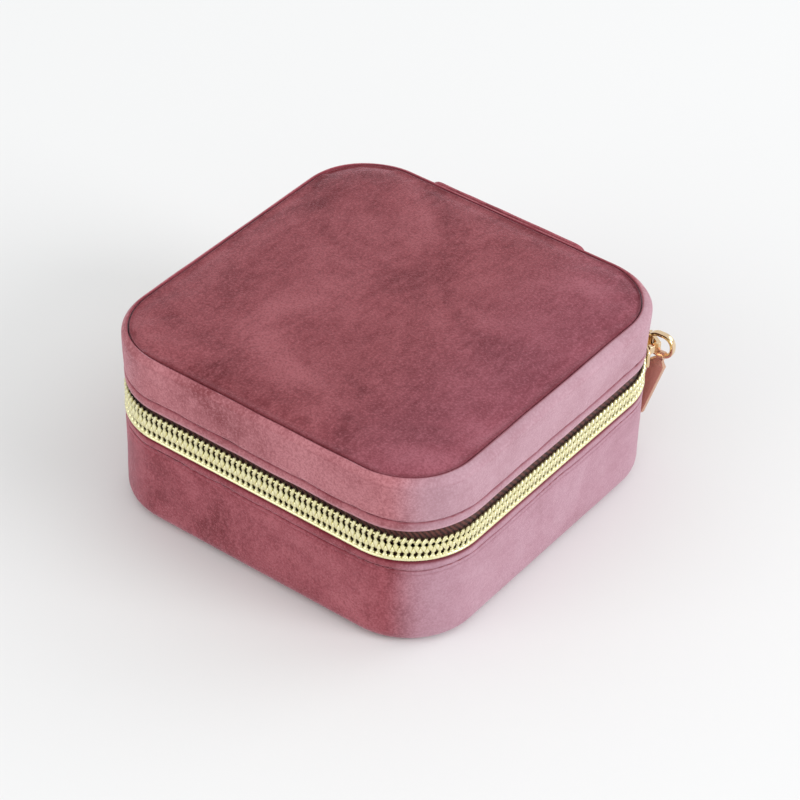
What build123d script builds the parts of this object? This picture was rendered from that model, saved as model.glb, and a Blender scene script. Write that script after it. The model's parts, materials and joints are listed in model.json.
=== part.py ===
"""Travel jewelry case: a zipped velvet box with a mirror lid, ring rolls and compartments.

Units are millimetres. The origin is the centre of the footprint on the underside, +Z is up,
+Y points to the fabric hinge at the back and +X to the right.
"""
import os
from math import cos, radians, sin

from build123d import *

# ---- outside of the case ---------------------------------------------------------------------
CASE_WIDTH = 100.0
CASE_DEPTH = 101.5
CASE_HEIGHT = 49.4
CORNER_RADIUS = 19.0
BASE_RIM_Z = 25.5
LID_RIM_Z = 34.5
BOTTOM_ROUNDING = 3.6
TOP_ROUNDING = 1.5
TOP_CROWN = 0.5
TOP_SEAM_INSET = 1.7
BOTTOM_PANEL_INSET = 5.0

# ---- wall layers, from the outside in --------------------------------------------------------
COVER = 1.3
TAPE = 0.6
BOARD = 2.1
LINING = 0.9
TOP_FOAM = 2.4
TOP_BOARD = 1.8
WALL = COVER + BOARD + LINING
RIM_TURN = 1.0

# ---- zip chain -------------------------------------------------------------------------------
CHAIN_LOW_Z = BASE_RIM_Z + 0.5
CHAIN_WIDTH = 6.1
CHAIN_PART_GAP = 0.4
CHAIN_PROUD = 0.4
CHAIN_MID_Z = CHAIN_LOW_Z + CHAIN_WIDTH / 2
TAPE_IN_WALL = 6.5
TAPE_BACK_GAP = 1.7
CHAIN_END_ANGLE = 77.0
STOP_LENGTH = 1.4
STOP_PROUD = 0.5

# ---- fabric hinge at the back ----------------------------------------------------------------
PATCH_LEFT_X = -27.0
PATCH_RIGHT_X = 21.5
PATCH_THICKNESS = 2.2
PATCH_CORNER = 4.0
PATCH_TOP_GAP = 1.0
PATCH_FOOT_Z = 6.0
PATCH_TAPE_CLEARANCE = 0.6

# ---- mirror in the lid -----------------------------------------------------------------------
MIRROR_SIDE = 72.0
MIRROR_CORNER = 10.0
MIRROR_THICKNESS = 1.6
MIRROR_BOARD = 1.4
MIRROR_BOARD_MARGIN = 3.0
MIRROR_LIP = 1.5
FRAME_LIP_THICKNESS = 1.0

# ---- inside of the base ----------------------------------------------------------------------
RING_ROLL_COUNT = 6
RING_ROLL_HEIGHT = 20.0
RING_SECTION_SHARE = 0.47
DIVIDER_THICKNESS = 2.4
DIVIDER_TOP_DROP = 1.5
SHORT_DIVIDER_COUNT = 2
ROLL_GAP = 0.4

# ---- slider and puller -----------------------------------------------------------------------
SLIDER_ANGLE = 58.0
SLIDER_LENGTH = 10.0
SLIDER_CLEARANCE = 0.4
SLIDER_PLATE = 0.9
SLIDER_LOW_Z = CHAIN_LOW_Z - 0.3
SLIDER_HIGH_Z = CHAIN_LOW_Z + CHAIN_WIDTH + 1.0
SLIDER_NOSE_WIDTH = 5.2
CROWN_WIDTH = 2.2
CROWN_HALF_FOOT = 3.9
CROWN_HALF_TOP = 2.7
CROWN_STRAP = 1.0
CROWN_Z = CHAIN_MID_Z + 2.0
RING_WIRE = 0.5
RING_TURN_GAP = 0.4
RING_LENGTH = 7.6
RING_HEIGHT = 7.1
RING_BAND = 1.1
RING_THICKNESS = 1.5
RING_HEADING = 3.0
RING_OUTER_CORNER = 2.6
TAB_EYE_CLEARANCE = 0.15
TAB_EYE_WALL = 0.45
TAB_EYE_WIDTH = 2.0
TAB_EYE_ALONG_RING = 3.6
TAB_CROWN_CLEARANCE = 0.3
TAB_LENGTH = 20.8
TAB_THICKNESS = 1.2
TAB_HEAD_WIDTH = 4.6
TAB_HEAD_DROP = 2.8
TAB_TIP_WIDTH = 3.0
TAB_LEAN = 14.0

# ---- sizes that follow from the ones above ---------------------------------------------------
HALF_W = CASE_WIDTH / 2
HALF_D = CASE_DEPTH / 2
EDGE_TOP_Z = CASE_HEIGHT - TOP_CROWN
FLOOR_Z = COVER + TOP_BOARD + LINING
CEILING_Z = EDGE_TOP_Z - COVER - TOP_FOAM - TOP_BOARD - LINING
INNER_W = CASE_WIDTH - 2 * WALL
INNER_D = CASE_DEPTH - 2 * WALL
INNER_R = CORNER_RADIUS - WALL
ROLLS_RIGHT_X = -INNER_W / 2 + INNER_W * RING_SECTION_SHARE
DIVIDER_TOP_Z = BASE_RIM_Z - DIVIDER_TOP_DROP
CORNER_X = HALF_W - CORNER_RADIUS
CORNER_Y = HALF_D - CORNER_RADIUS
PATCH_MID_X = (PATCH_LEFT_X + PATCH_RIGHT_X) / 2
PATCH_WIDTH = PATCH_RIGHT_X - PATCH_LEFT_X
PATCH_TOP_Z = EDGE_TOP_Z - PATCH_TOP_GAP


def prism(inset, low, high):
    """Upright block with the case's outline, moved in by inset, between two heights."""
    outline = RectangleRounded(CASE_WIDTH - 2 * inset, CASE_DEPTH - 2 * inset,
                               CORNER_RADIUS - inset)
    return extrude(Plane.XY.offset(low) * outline, amount=high - low)


def ring_band(outer_inset, inner_inset, low, high):
    """Closed band that follows the wall between two insets and two heights."""
    return prism(outer_inset, low, high) - prism(inner_inset, low - 1, high + 1)


def base_form(inset, top=BASE_RIM_Z):
    """The base's outside moved in by inset, with its rounded bottom edge."""
    block = prism(inset, inset, top)
    edge = block.faces().sort_by(Axis.Z)[0].edges()
    return fillet(edge, BOTTOM_ROUNDING - inset)


def lid_form(inset, low=LID_RIM_Z):
    """The lid's outside moved in by inset, with its rounded top edge."""
    block = prism(inset, low, EDGE_TOP_Z - inset)
    edge = block.faces().sort_by(Axis.Z)[-1].edges()
    return fillet(edge, max(TOP_ROUNDING - inset, 0.2))


def box_between(x0, x1, y0, y1, z0, z1):
    """Plain block between six coordinates."""
    return Pos((x0 + x1) / 2, (y0 + y1) / 2, (z0 + z1) / 2) * Box(x1 - x0, y1 - y0, z1 - z0)


# ---- base shell ------------------------------------------------------------------------------
def make_base_bottom_cover():
    return prism(BOTTOM_PANEL_INSET, 0.0, COVER)


def make_base_wall_cover():
    return base_form(0.0) - base_form(COVER, BASE_RIM_Z + 1) - make_base_bottom_cover()


def make_base_bottom_board():
    return base_form(COVER) & prism(COVER + BOARD, COVER, FLOOR_Z - LINING)


def make_base_wall_board():
    wall = base_form(COVER, BASE_RIM_Z - RIM_TURN) - prism(COVER + BOARD, 0, CASE_HEIGHT)
    return wall - make_lower_tape()


def make_base_lining():
    tray = prism(COVER + BOARD, FLOOR_Z - LINING, BASE_RIM_Z) - prism(WALL, FLOOR_Z, CASE_HEIGHT)
    turn = ring_band(COVER, COVER + BOARD + 0.1, BASE_RIM_Z - RIM_TURN, BASE_RIM_Z)
    return tray + turn - make_lower_tape()


# ---- zip -------------------------------------------------------------------------------------
def open_at_back(band):
    """Take the band away behind the fabric hinge."""
    gap = box_between(PATCH_LEFT_X - PATCH_TAPE_CLEARANCE, PATCH_RIGHT_X + PATCH_TAPE_CLEARANCE,
                      0, CASE_DEPTH, 0, CASE_HEIGHT)
    return band - gap


def angle_cut(band, first, last):
    """Keep what lies outside the wedge between two angles about the rear right corner."""
    reach = CASE_DEPTH
    corners = [(0, 0)]
    corners += [(reach * cos(radians(a)), reach * sin(radians(a))) for a in (first, last)]
    wedge = extrude(make_face(Polyline(*corners, close=True)), amount=CASE_HEIGHT)
    return band - Pos(CORNER_X, CORNER_Y, 0) * wedge


def make_lower_tape():
    high = CHAIN_MID_Z - TAPE_BACK_GAP / 2
    return open_at_back(ring_band(COVER, COVER + TAPE, BASE_RIM_Z - TAPE_IN_WALL, high))


def make_upper_tape():
    low = CHAIN_MID_Z + TAPE_BACK_GAP / 2
    return open_at_back(ring_band(COVER, COVER + TAPE, low, LID_RIM_Z + TAPE_IN_WALL))


def chain_half(low, high):
    """One side of the coil: a band in front of its tape, ending before the top stops."""
    band = ring_band(-CHAIN_PROUD, COVER, low, high)
    rear = box_between(-1, CORNER_X, 0, CASE_DEPTH, 0, CASE_HEIGHT)
    return angle_cut(open_at_back(band) - rear, CHAIN_END_ANGLE, 100)


def make_lower_coil():
    return chain_half(CHAIN_LOW_Z, CHAIN_MID_Z - CHAIN_PART_GAP / 2)


def make_upper_coil():
    return chain_half(CHAIN_MID_Z + CHAIN_PART_GAP / 2, CHAIN_LOW_Z + CHAIN_WIDTH)


def top_stop(low, high):
    """Small metal block clipped on the tape where the slider comes to rest."""
    band = ring_band(-STOP_PROUD, COVER, low, high)
    turn = STOP_LENGTH / CORNER_RADIUS * 180 / 3.14159
    keep = box_between(CORNER_X, HALF_W + 5, CORNER_Y, HALF_D + 5, 0, CASE_HEIGHT)
    keep = angle_cut(keep, -30, CHAIN_END_ANGLE + 0.5)
    keep = angle_cut(keep, CHAIN_END_ANGLE + 0.5 + turn, 150)
    return band & keep


def make_lower_stop():
    return top_stop(CHAIN_LOW_Z + 0.6, CHAIN_MID_Z - CHAIN_PART_GAP)


def make_upper_stop():
    return top_stop(CHAIN_MID_Z + CHAIN_PART_GAP, CHAIN_LOW_Z + CHAIN_WIDTH - 0.6)


# ---- lid -------------------------------------------------------------------------------------
def make_lid_wall_cover():
    skin = lid_form(0.0) - prism(COVER, 0, EDGE_TOP_Z - COVER)
    return skin - prism(TOP_SEAM_INSET, 0, CASE_HEIGHT)


def make_lid_top_cover():
    inset = TOP_SEAM_INSET
    panel = prism(inset, EDGE_TOP_Z - COVER, EDGE_TOP_Z)
    dome = prism(inset, EDGE_TOP_Z, CASE_HEIGHT)
    rim = dome.faces().sort_by(Axis.Z)[-1].edges()
    return panel + chamfer(rim, TOP_CROWN - 0.02, 9.0)


def make_lid_top_foam():
    high = EDGE_TOP_Z - COVER
    return prism(COVER, high - TOP_FOAM, high)


def make_lid_top_board():
    high = EDGE_TOP_Z - COVER - TOP_FOAM
    return prism(COVER, high - TOP_BOARD, high)


def make_lid_wall_board():
    high = CEILING_Z + LINING
    wall = ring_band(COVER, COVER + BOARD, LID_RIM_Z + RIM_TURN, high)
    return wall - make_upper_tape()


def make_lid_lining():
    shell = prism(COVER + BOARD, LID_RIM_Z, CEILING_Z + LINING) - prism(WALL, 0, CEILING_Z)
    turn = ring_band(COVER, COVER + BOARD + 0.1, LID_RIM_Z, LID_RIM_Z + RIM_TURN)
    return shell + turn - make_upper_tape()


def mirror_block(grow, low, high):
    """Block with the mirror's outline, grown on each side."""
    side = MIRROR_SIDE + 2 * grow
    outline = RectangleRounded(side, side, MIRROR_CORNER + grow)
    return extrude(Plane.XY.offset(low) * outline, amount=high - low)


def make_mirror_board():
    return mirror_block(MIRROR_BOARD_MARGIN, CEILING_Z - MIRROR_BOARD, CEILING_Z)


def make_mirror():
    high = CEILING_Z - MIRROR_BOARD
    return mirror_block(0, high - MIRROR_THICKNESS, high)


def make_mirror_frame():
    low = CEILING_Z - MIRROR_BOARD - MIRROR_THICKNESS - FRAME_LIP_THICKNESS
    pad = prism(WALL, low, CEILING_Z)
    edge = pad.faces().sort_by(Axis.Z)[0].edges()
    pad = fillet(edge, 1.2)
    pad = pad - mirror_block(MIRROR_BOARD_MARGIN, CEILING_Z - MIRROR_BOARD, CASE_HEIGHT)
    pad = pad - mirror_block(0, low + FRAME_LIP_THICKNESS, CASE_HEIGHT)
    return pad - mirror_block(-MIRROR_LIP, 0, CASE_HEIGHT)


# ---- fabric hinge ----------------------------------------------------------------------------
def patch_piece(low, high, round_low, round_high):
    """Part of the padded strip sewn over the back, with rounded free corners."""
    piece = box_between(PATCH_LEFT_X, PATCH_RIGHT_X, HALF_D, HALF_D + PATCH_THICKNESS, low, high)
    upright = piece.edges().filter_by(Axis.Y)
    corners = []
    if round_low:
        corners += upright.sort_by(Axis.Z)[:2]
    if round_high:
        corners += upright.sort_by(Axis.Z)[-2:]
    if corners:
        piece = fillet(corners, PATCH_CORNER)
    return piece


def make_hinge_patch_base():
    return patch_piece(PATCH_FOOT_Z, BASE_RIM_Z, True, False)


def make_hinge_patch_fold():
    return patch_piece(BASE_RIM_Z, LID_RIM_Z, False, False)


def make_hinge_patch_lid():
    return patch_piece(LID_RIM_Z, PATCH_TOP_Z, False, True)


def make_hinge_inner_lining():
    back = HALF_D - COVER - BOARD
    return box_between(PATCH_LEFT_X, PATCH_RIGHT_X, back - LINING, back, BASE_RIM_Z, LID_RIM_Z)


# ---- inside of the base ----------------------------------------------------------------------
def inner_block(x0, x1, y0, y1, z0, z1):
    """Block trimmed to the lined inside of the base."""
    return box_between(x0, x1, y0, y1, z0, z1) & prism(WALL, FLOOR_Z, CASE_HEIGHT)


def make_ring_roll(index):
    """One soft roll of the ring holder; rings are pushed down between two of them."""
    pitch = INNER_D / RING_ROLL_COUNT
    y0 = -INNER_D / 2 + index * pitch + ROLL_GAP / 2
    y1 = y0 + pitch - ROLL_GAP
    radius = (y1 - y0) / 2
    top = FLOOR_Z + RING_ROLL_HEIGHT
    left = -INNER_W / 2 - 1
    right = ROLLS_RIGHT_X - DIVIDER_THICKNESS / 2
    body = box_between(left, right, y0, y1, FLOOR_Z, top)
    crown = body.faces().sort_by(Axis.Z)[-1].edges().filter_by(Axis.X)
    body = fillet(crown, radius - 0.2)
    return body & prism(WALL, FLOOR_Z, CASE_HEIGHT)


def make_long_divider():
    x0 = ROLLS_RIGHT_X - DIVIDER_THICKNESS / 2
    x1 = ROLLS_RIGHT_X + DIVIDER_THICKNESS / 2
    bar = box_between(x0, x1, -INNER_D / 2, INNER_D / 2, FLOOR_Z, DIVIDER_TOP_Z)
    top = bar.faces().sort_by(Axis.Z)[-1].edges().filter_by(Axis.Y)
    return fillet(top, DIVIDER_THICKNESS / 2 - 0.1)


def make_short_divider(index):
    share = (index + 1) / (SHORT_DIVIDER_COUNT + 1)
    middle = -INNER_D / 2 + INNER_D * share
    x0 = ROLLS_RIGHT_X + DIVIDER_THICKNESS / 2
    bar = box_between(x0, INNER_W / 2, middle - DIVIDER_THICKNESS / 2,
                      middle + DIVIDER_THICKNESS / 2, FLOOR_Z, DIVIDER_TOP_Z)
    top = bar.faces().sort_by(Axis.Z)[-1].edges().filter_by(Axis.X)
    return fillet(top, DIVIDER_THICKNESS / 2 - 0.1)


# ---- slider and puller -----------------------------------------------------------------------
PLATE_IN = CHAIN_PROUD + SLIDER_CLEARANCE
PLATE_OUT = PLATE_IN + SLIDER_PLATE
BAR_OFF = PLATE_OUT + RING_TURN_GAP + (RING_THICKNESS ** 2 + (2 * RING_WIRE) ** 2) ** 0.5 / 2
CROWN_UNDER = BAR_OFF + RING_WIRE + RING_TURN_GAP
CROWN_OUT = CROWN_UNDER + CROWN_STRAP


TAB_EYE_HOLE = RING_WIRE + TAB_EYE_CLEARANCE
TAB_EYE_OUT = TAB_EYE_HOLE + TAB_EYE_WALL
LOWER_BAR_Z = CROWN_Z - CROWN_WIDTH / 2 - TAB_CROWN_CLEARANCE - TAB_EYE_OUT
RING_MID_Z = LOWER_BAR_Z - RING_BAND / 2 + RING_HEIGHT / 2


def slider_frame():
    """Local frame of the slider: x away from the wall, y along the chain, z up."""
    return Pos(CORNER_X, CORNER_Y, 0) * Rot(0, 0, SLIDER_ANGLE)


def make_slider_plate():
    """Shield shaped outer plate, bent to the corner, wide at its mouth and narrow at its tail."""
    rim = Circle(CORNER_RADIUS + PLATE_OUT) - Circle(CORNER_RADIUS + PLATE_IN)
    band = extrude(Plane.XY.offset(SLIDER_LOW_Z) * rim, amount=SLIDER_HIGH_Z - SLIDER_LOW_Z)
    half = SLIDER_LENGTH / 2
    low = SLIDER_LOW_Z - CHAIN_MID_Z
    high = SLIDER_HIGH_Z - CHAIN_MID_Z
    nose = SLIDER_NOSE_WIDTH / 2
    outline = Polyline((-half, -nose), (half, low), (half, high), (-half, nose), close=True)
    face = Plane.YZ.offset(0) * make_face(outline)
    cutter = Pos(0, 0, CHAIN_MID_Z) * extrude(face, amount=CORNER_RADIUS * 2)
    cutter = fillet(cutter.edges().filter_by(Axis.X), 1.2)
    return slider_frame() * (band & cutter)


def make_slider_crown():
    """Strap over the plate that holds the puller ring's bar."""
    foot = CORNER_RADIUS + PLATE_OUT - 0.35
    over = CORNER_RADIUS + CROWN_OUT
    under = CORNER_RADIUS + CROWN_UNDER
    step = CROWN_STRAP
    outside = Polyline((foot, -CROWN_HALF_FOOT), (over, -CROWN_HALF_TOP), (over, CROWN_HALF_TOP),
                       (foot, CROWN_HALF_FOOT), close=True)
    inside = Polyline((foot - 1, -CROWN_HALF_FOOT + step), (under, -CROWN_HALF_TOP + step * 0.7),
                      (under, CROWN_HALF_TOP - step * 0.7), (foot - 1, CROWN_HALF_FOOT - step),
                      close=True)
    strap = extrude(Plane.XY.offset(CROWN_Z - CROWN_WIDTH / 2)
                    * (make_face(outside) - make_face(inside)), amount=CROWN_WIDTH)
    strap = slider_frame() * strap
    return strap - make_slider_plate()


def ring_centre():
    """Middle of the ring's turning bar."""
    reach = CORNER_RADIUS + BAR_OFF
    return (CORNER_X + reach * cos(radians(SLIDER_ANGLE)),
            CORNER_Y + reach * sin(radians(SLIDER_ANGLE)), RING_MID_Z)


def ring_frame():
    """Local frame of the ring: x along the ring, z up its turning bar."""
    return Pos(*ring_centre()) * Rot(0, 0, RING_HEADING)


def make_puller_ring():
    """Flat hoop: its upright bar turns in the crown and its lower bar carries the tab."""
    mid_x = RING_LENGTH / 2 - RING_BAND / 2
    outline = RectangleRounded(RING_LENGTH, RING_HEIGHT, RING_OUTER_CORNER)
    hole = RectangleRounded(RING_LENGTH - 2 * RING_BAND, RING_HEIGHT - 2 * RING_BAND,
                            RING_OUTER_CORNER - RING_BAND)
    hoop = extrude(Plane.XZ * (outline - hole), amount=RING_THICKNESS / 2, both=True)
    hoop = Pos(mid_x, 0, 0) * hoop
    bar_half = CROWN_WIDTH / 2 + RING_TURN_GAP
    drop = RING_MID_Z - CROWN_Z
    hoop = hoop - box_between(-RING_BAND, RING_BAND, -2, 2, -drop - bar_half, -drop + bar_half)
    low = -RING_HEIGHT / 2
    eye0 = TAB_EYE_ALONG_RING - TAB_EYE_WIDTH / 2 - 0.3
    eye1 = TAB_EYE_ALONG_RING + TAB_EYE_WIDTH / 2 + 0.3
    hoop = hoop - box_between(eye0, eye1, -2, 2, low - 1, low + RING_BAND + 0.2)
    upright = Pos(0, 0, -drop) * Cylinder(RING_WIRE, 2 * bar_half + 0.5)
    lower = Pos(TAB_EYE_ALONG_RING, 0, low + RING_BAND / 2) * Rot(0, 90, 0)
    lower = lower * Cylinder(RING_WIRE, eye1 - eye0 + 0.5)
    return ring_frame() * (hoop + upright + lower)


def tab_frame():
    """Local frame of the tab: x along the ring's lower bar, z up along the tab."""
    low = -RING_HEIGHT / 2 + RING_BAND / 2
    return ring_frame() * Pos(TAB_EYE_ALONG_RING, 0, low)


def make_puller_tab():
    """Long tapered tab with a bevelled head and an eye round the ring's lower bar."""
    neck = TAB_EYE_WIDTH / 2
    head = TAB_HEAD_WIDTH / 2
    tip = TAB_TIP_WIDTH / 2
    outline = Polyline((-neck, 0), (-neck, -TAB_EYE_OUT), (-head, -TAB_HEAD_DROP),
                       (-tip, -TAB_LENGTH), (tip, -TAB_LENGTH), (head, -TAB_HEAD_DROP),
                       (neck, -TAB_EYE_OUT), (neck, 0), close=True)
    blade = extrude(Plane.XZ * make_face(outline), amount=TAB_THICKNESS / 2, both=True)
    ends = blade.edges().filter_by(Axis.Y).sort_by(Axis.Z)[:2]
    blade = fillet(ends, tip - 0.1)
    blade = Rot(0, TAB_LEAN, 0) * blade
    eye = Rot(0, 90, 0) * Cylinder(TAB_EYE_OUT, TAB_EYE_WIDTH)
    hole = Rot(0, 90, 0) * Cylinder(TAB_EYE_HOLE, TAB_EYE_WIDTH + 3)
    return tab_frame() * (blade + eye - hole)


def build_nodes():
    """Every separate piece by its node name."""
    nodes = {
        "base_bottom_cover": make_base_bottom_cover(),
        "base_wall_cover": make_base_wall_cover(),
        "base_bottom_board": make_base_bottom_board(),
        "base_wall_board": make_base_wall_board(),
        "base_lining": make_base_lining(),
        "zip_lower_tape": make_lower_tape(),
        "zip_lower_coil": make_lower_coil(),
        "zip_lower_top_stop": make_lower_stop(),
        "zip_upper_tape": make_upper_tape(),
        "zip_upper_coil": make_upper_coil(),
        "zip_upper_top_stop": make_upper_stop(),
        "lid_wall_cover": make_lid_wall_cover(),
        "lid_top_cover": make_lid_top_cover(),
        "lid_top_foam": make_lid_top_foam(),
        "lid_top_board": make_lid_top_board(),
        "lid_wall_board": make_lid_wall_board(),
        "lid_lining": make_lid_lining(),
        "mirror_board": make_mirror_board(),
        "mirror": make_mirror(),
        "mirror_frame": make_mirror_frame(),
        "hinge_patch_base": make_hinge_patch_base(),
        "hinge_patch_fold": make_hinge_patch_fold(),
        "hinge_patch_lid": make_hinge_patch_lid(),
        "hinge_inner_lining": make_hinge_inner_lining(),
        "long_divider": make_long_divider(),
        "slider_plate": make_slider_plate(),
        "slider_crown": make_slider_crown(),
        "puller_ring": make_puller_ring(),
        "puller_tab": make_puller_tab(),
    }
    for index in range(RING_ROLL_COUNT):
        nodes[f"ring_roll_{index + 1}"] = make_ring_roll(index)
    for index in range(SHORT_DIVIDER_COUNT):
        nodes[f"short_divider_{index + 1}"] = make_short_divider(index)
    return nodes


os.makedirs("parts", exist_ok=True)
for name, shape in build_nodes().items():
    export_step(shape, f"parts/{name}.step")
    bounds = shape.bounding_box()
    print(name, len(shape.solids()), round(shape.volume, 2), bounds.min, bounds.max)
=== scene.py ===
"""Looks of a velvet travel jewelry case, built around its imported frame.

Lengths are metres; sizes written in millimetres are multiplied by MM. +Z is up, +Y points to the
fabric hinge at the back and +X to the right. Places come from the frame's nodes and joints.
"""

import json
import logging
import math
from dataclasses import dataclass
from enum import Enum
from typing import Callable, Iterable, Optional, Sequence

import bmesh
import bpy
from mathutils import Matrix, Vector, noise


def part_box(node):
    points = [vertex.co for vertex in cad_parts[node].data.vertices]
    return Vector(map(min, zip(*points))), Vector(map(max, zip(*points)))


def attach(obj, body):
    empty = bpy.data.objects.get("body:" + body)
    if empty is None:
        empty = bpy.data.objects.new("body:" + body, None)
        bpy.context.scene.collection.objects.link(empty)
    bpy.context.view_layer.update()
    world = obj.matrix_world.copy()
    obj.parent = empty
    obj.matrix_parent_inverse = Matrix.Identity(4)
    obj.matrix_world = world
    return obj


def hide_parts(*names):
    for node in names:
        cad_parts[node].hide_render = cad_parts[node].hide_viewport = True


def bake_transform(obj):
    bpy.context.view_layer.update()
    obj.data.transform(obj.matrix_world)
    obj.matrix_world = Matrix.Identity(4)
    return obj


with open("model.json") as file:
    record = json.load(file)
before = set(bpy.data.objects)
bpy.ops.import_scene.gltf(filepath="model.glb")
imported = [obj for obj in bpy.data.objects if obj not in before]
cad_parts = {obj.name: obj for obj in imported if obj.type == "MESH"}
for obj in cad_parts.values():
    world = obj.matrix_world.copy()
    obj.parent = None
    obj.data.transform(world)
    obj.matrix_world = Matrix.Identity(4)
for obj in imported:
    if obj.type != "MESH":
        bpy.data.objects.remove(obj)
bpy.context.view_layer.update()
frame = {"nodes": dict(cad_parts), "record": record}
MM = 0.001
LOG = logging.getLogger("jewelry_case")
UP = Vector((0.0, 0.0, 1.0))
QUARTER = math.pi / 2
CLOTH = {"quality": 6, "mass": 0.12, "tension_stiffness": 12, "compression_stiffness": 12,
         "shear_stiffness": 6, "bending_stiffness": 0.6, "use_pressure": True}
STITCH_RADIUS = 0.13 * MM
STITCH_HALF = 0.95 * MM
STITCH_DIP = 0.22 * MM

Object = bpy.types.Object
Material = bpy.types.Material
Socket = bpy.types.NodeSocket
Row = tuple[float, float]
Triple = tuple[float, float, float]
Colour = Triple
Test = Callable[[Vector], bool]
Share = Callable[[Vector], float]


class Closing(Enum):
    """How a lofted wall is closed."""

    BRIDGE = "first row joined to last"
    CAPS = "flat faces on both ends"


class Body(str, Enum):
    """Bodies of the frame that pieces ride on."""

    BASE = "base"
    LID = "lid"
    SLIDER = "slider"
    RING = "puller_ring"
    TAB = "puller_tab"


# ---- helpers -----------------------------------------------------------------------------------
def joint(name: str) -> dict:
    """Returns the frame's joint of that name."""
    return next(j for j in frame["record"]["behaviour"]["joints"] if j["name"] == name)


def deselect_all() -> None:
    """Returns to object mode and clears the selection."""
    if bpy.context.object and bpy.context.object.mode != "OBJECT":
        bpy.ops.object.mode_set(mode="OBJECT")
    bpy.ops.object.select_all(action="DESELECT")


def activate(obj: Object) -> None:
    """Makes obj the only selected object and the active one."""
    deselect_all()
    obj.select_set(True)
    bpy.context.view_layer.objects.active = obj


def edit(obj: Object) -> bmesh.types.BMesh:
    """Enters edit mode on obj and returns the mesh being edited."""
    activate(obj)
    bpy.ops.object.mode_set(mode="EDIT")
    return bmesh.from_edit_mesh(obj.data)


def done() -> None:
    """Leaves edit mode."""
    bpy.ops.object.mode_set(mode="OBJECT")


def select_all() -> None:
    """Selects the whole mesh that is being edited."""
    bpy.ops.mesh.select_all(action="SELECT")


def select_where(mesh: bmesh.types.BMesh, test: Callable[[bmesh.types.BMVert], bool]) -> None:
    """Selects the vertices that pass a test.

    Args:
        mesh: The mesh being edited.
        test: The test of a vertex.
    """
    bpy.ops.mesh.select_mode(type="VERT")
    for vert in mesh.verts:
        vert.select = bool(test(vert))
    mesh.select_flush(True)


def linked(name: str, data: bpy.types.ID) -> Object:
    """Makes an object of a data block and links it to the scene."""
    obj = bpy.data.objects.new(name, data)
    bpy.context.scene.collection.objects.link(obj)
    return obj


def started(name: str, add: Callable, **settings: object) -> Object:
    """Adds the primitive that a piece is modelled from.

    Args:
        name: Name of the new object.
        add: The operator that adds it.
        settings: The operator's settings.

    Returns:
        The new object.
    """
    deselect_all()
    add(**settings)
    obj = bpy.context.object
    obj.name = obj.data.name = name
    return obj


def apply_modifier(obj: Object, kind: str, **settings: object) -> None:
    """Adds a modifier, sets it and applies it.

    Args:
        obj: The object to change.
        kind: Blender's name of the modifier type.
        settings: Values for the modifier.
    """
    activate(obj)
    mod = obj.modifiers.new(kind.lower(), kind)
    for key, value in settings.items():
        setattr(mod, key, value)
    bpy.ops.object.modifier_apply(modifier=mod.name)


def face_out(obj: Object) -> None:
    """Merges doubles and turns every face outwards."""
    edit(obj)
    select_all()
    bpy.ops.mesh.remove_doubles(threshold=1e-6)
    bpy.ops.mesh.normals_make_consistent(inside=False)
    done()


def settle(obj: Object, matrix: Optional[Matrix] = None) -> None:
    """Puts the object's place into its mesh.

    Args:
        obj: The object.
        matrix: A further move, made after it.
    """
    place = obj.matrix_basis.copy() if matrix is None else matrix @ obj.matrix_basis
    obj.data.transform(place)
    obj.matrix_basis = Matrix.Identity(4)


def axes_at(x: Vector, y: Vector, z: Vector, origin: Vector) -> Matrix:
    """Matrix that turns the three axes to x, y and z and moves them to an origin."""
    turn = Matrix((x, y, z)).transposed().to_4x4()
    turn.translation = origin
    return turn


def bell(distance: float, width: float) -> float:
    """Smooth bump that is 1 at distance 0 and fades over width."""
    return math.exp(-(distance / width) ** 2)


def ease(share: float) -> float:
    """Smooth step from 0 to 1."""
    share = min(1.0, max(0.0, share))
    return share * share * (3 - 2 * share)


def core_point(co: Vector, half_x: float, half_y: float) -> Vector:
    """Nearest point to co of a flat rectangle about the origin."""
    return Vector((max(-half_x, min(half_x, co.x)), max(-half_y, min(half_y, co.y))))


def border(co: Vector, shape: Triple) -> float:
    """Distance from a point inwards to the border of a rounded rectangle.

    Args:
        co: The point.
        shape: Half width, half depth and corner radius.

    Returns:
        The distance, negative outside.
    """
    half_x, half_y, radius = shape
    over_x = max(0.0, abs(co.x) - half_x + radius)
    over_y = max(0.0, abs(co.y) - half_y + radius)
    if over_x > 0 and over_y > 0:
        return radius - math.hypot(over_x, over_y)
    return min(half_x - abs(co.x), half_y - abs(co.y))


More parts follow.
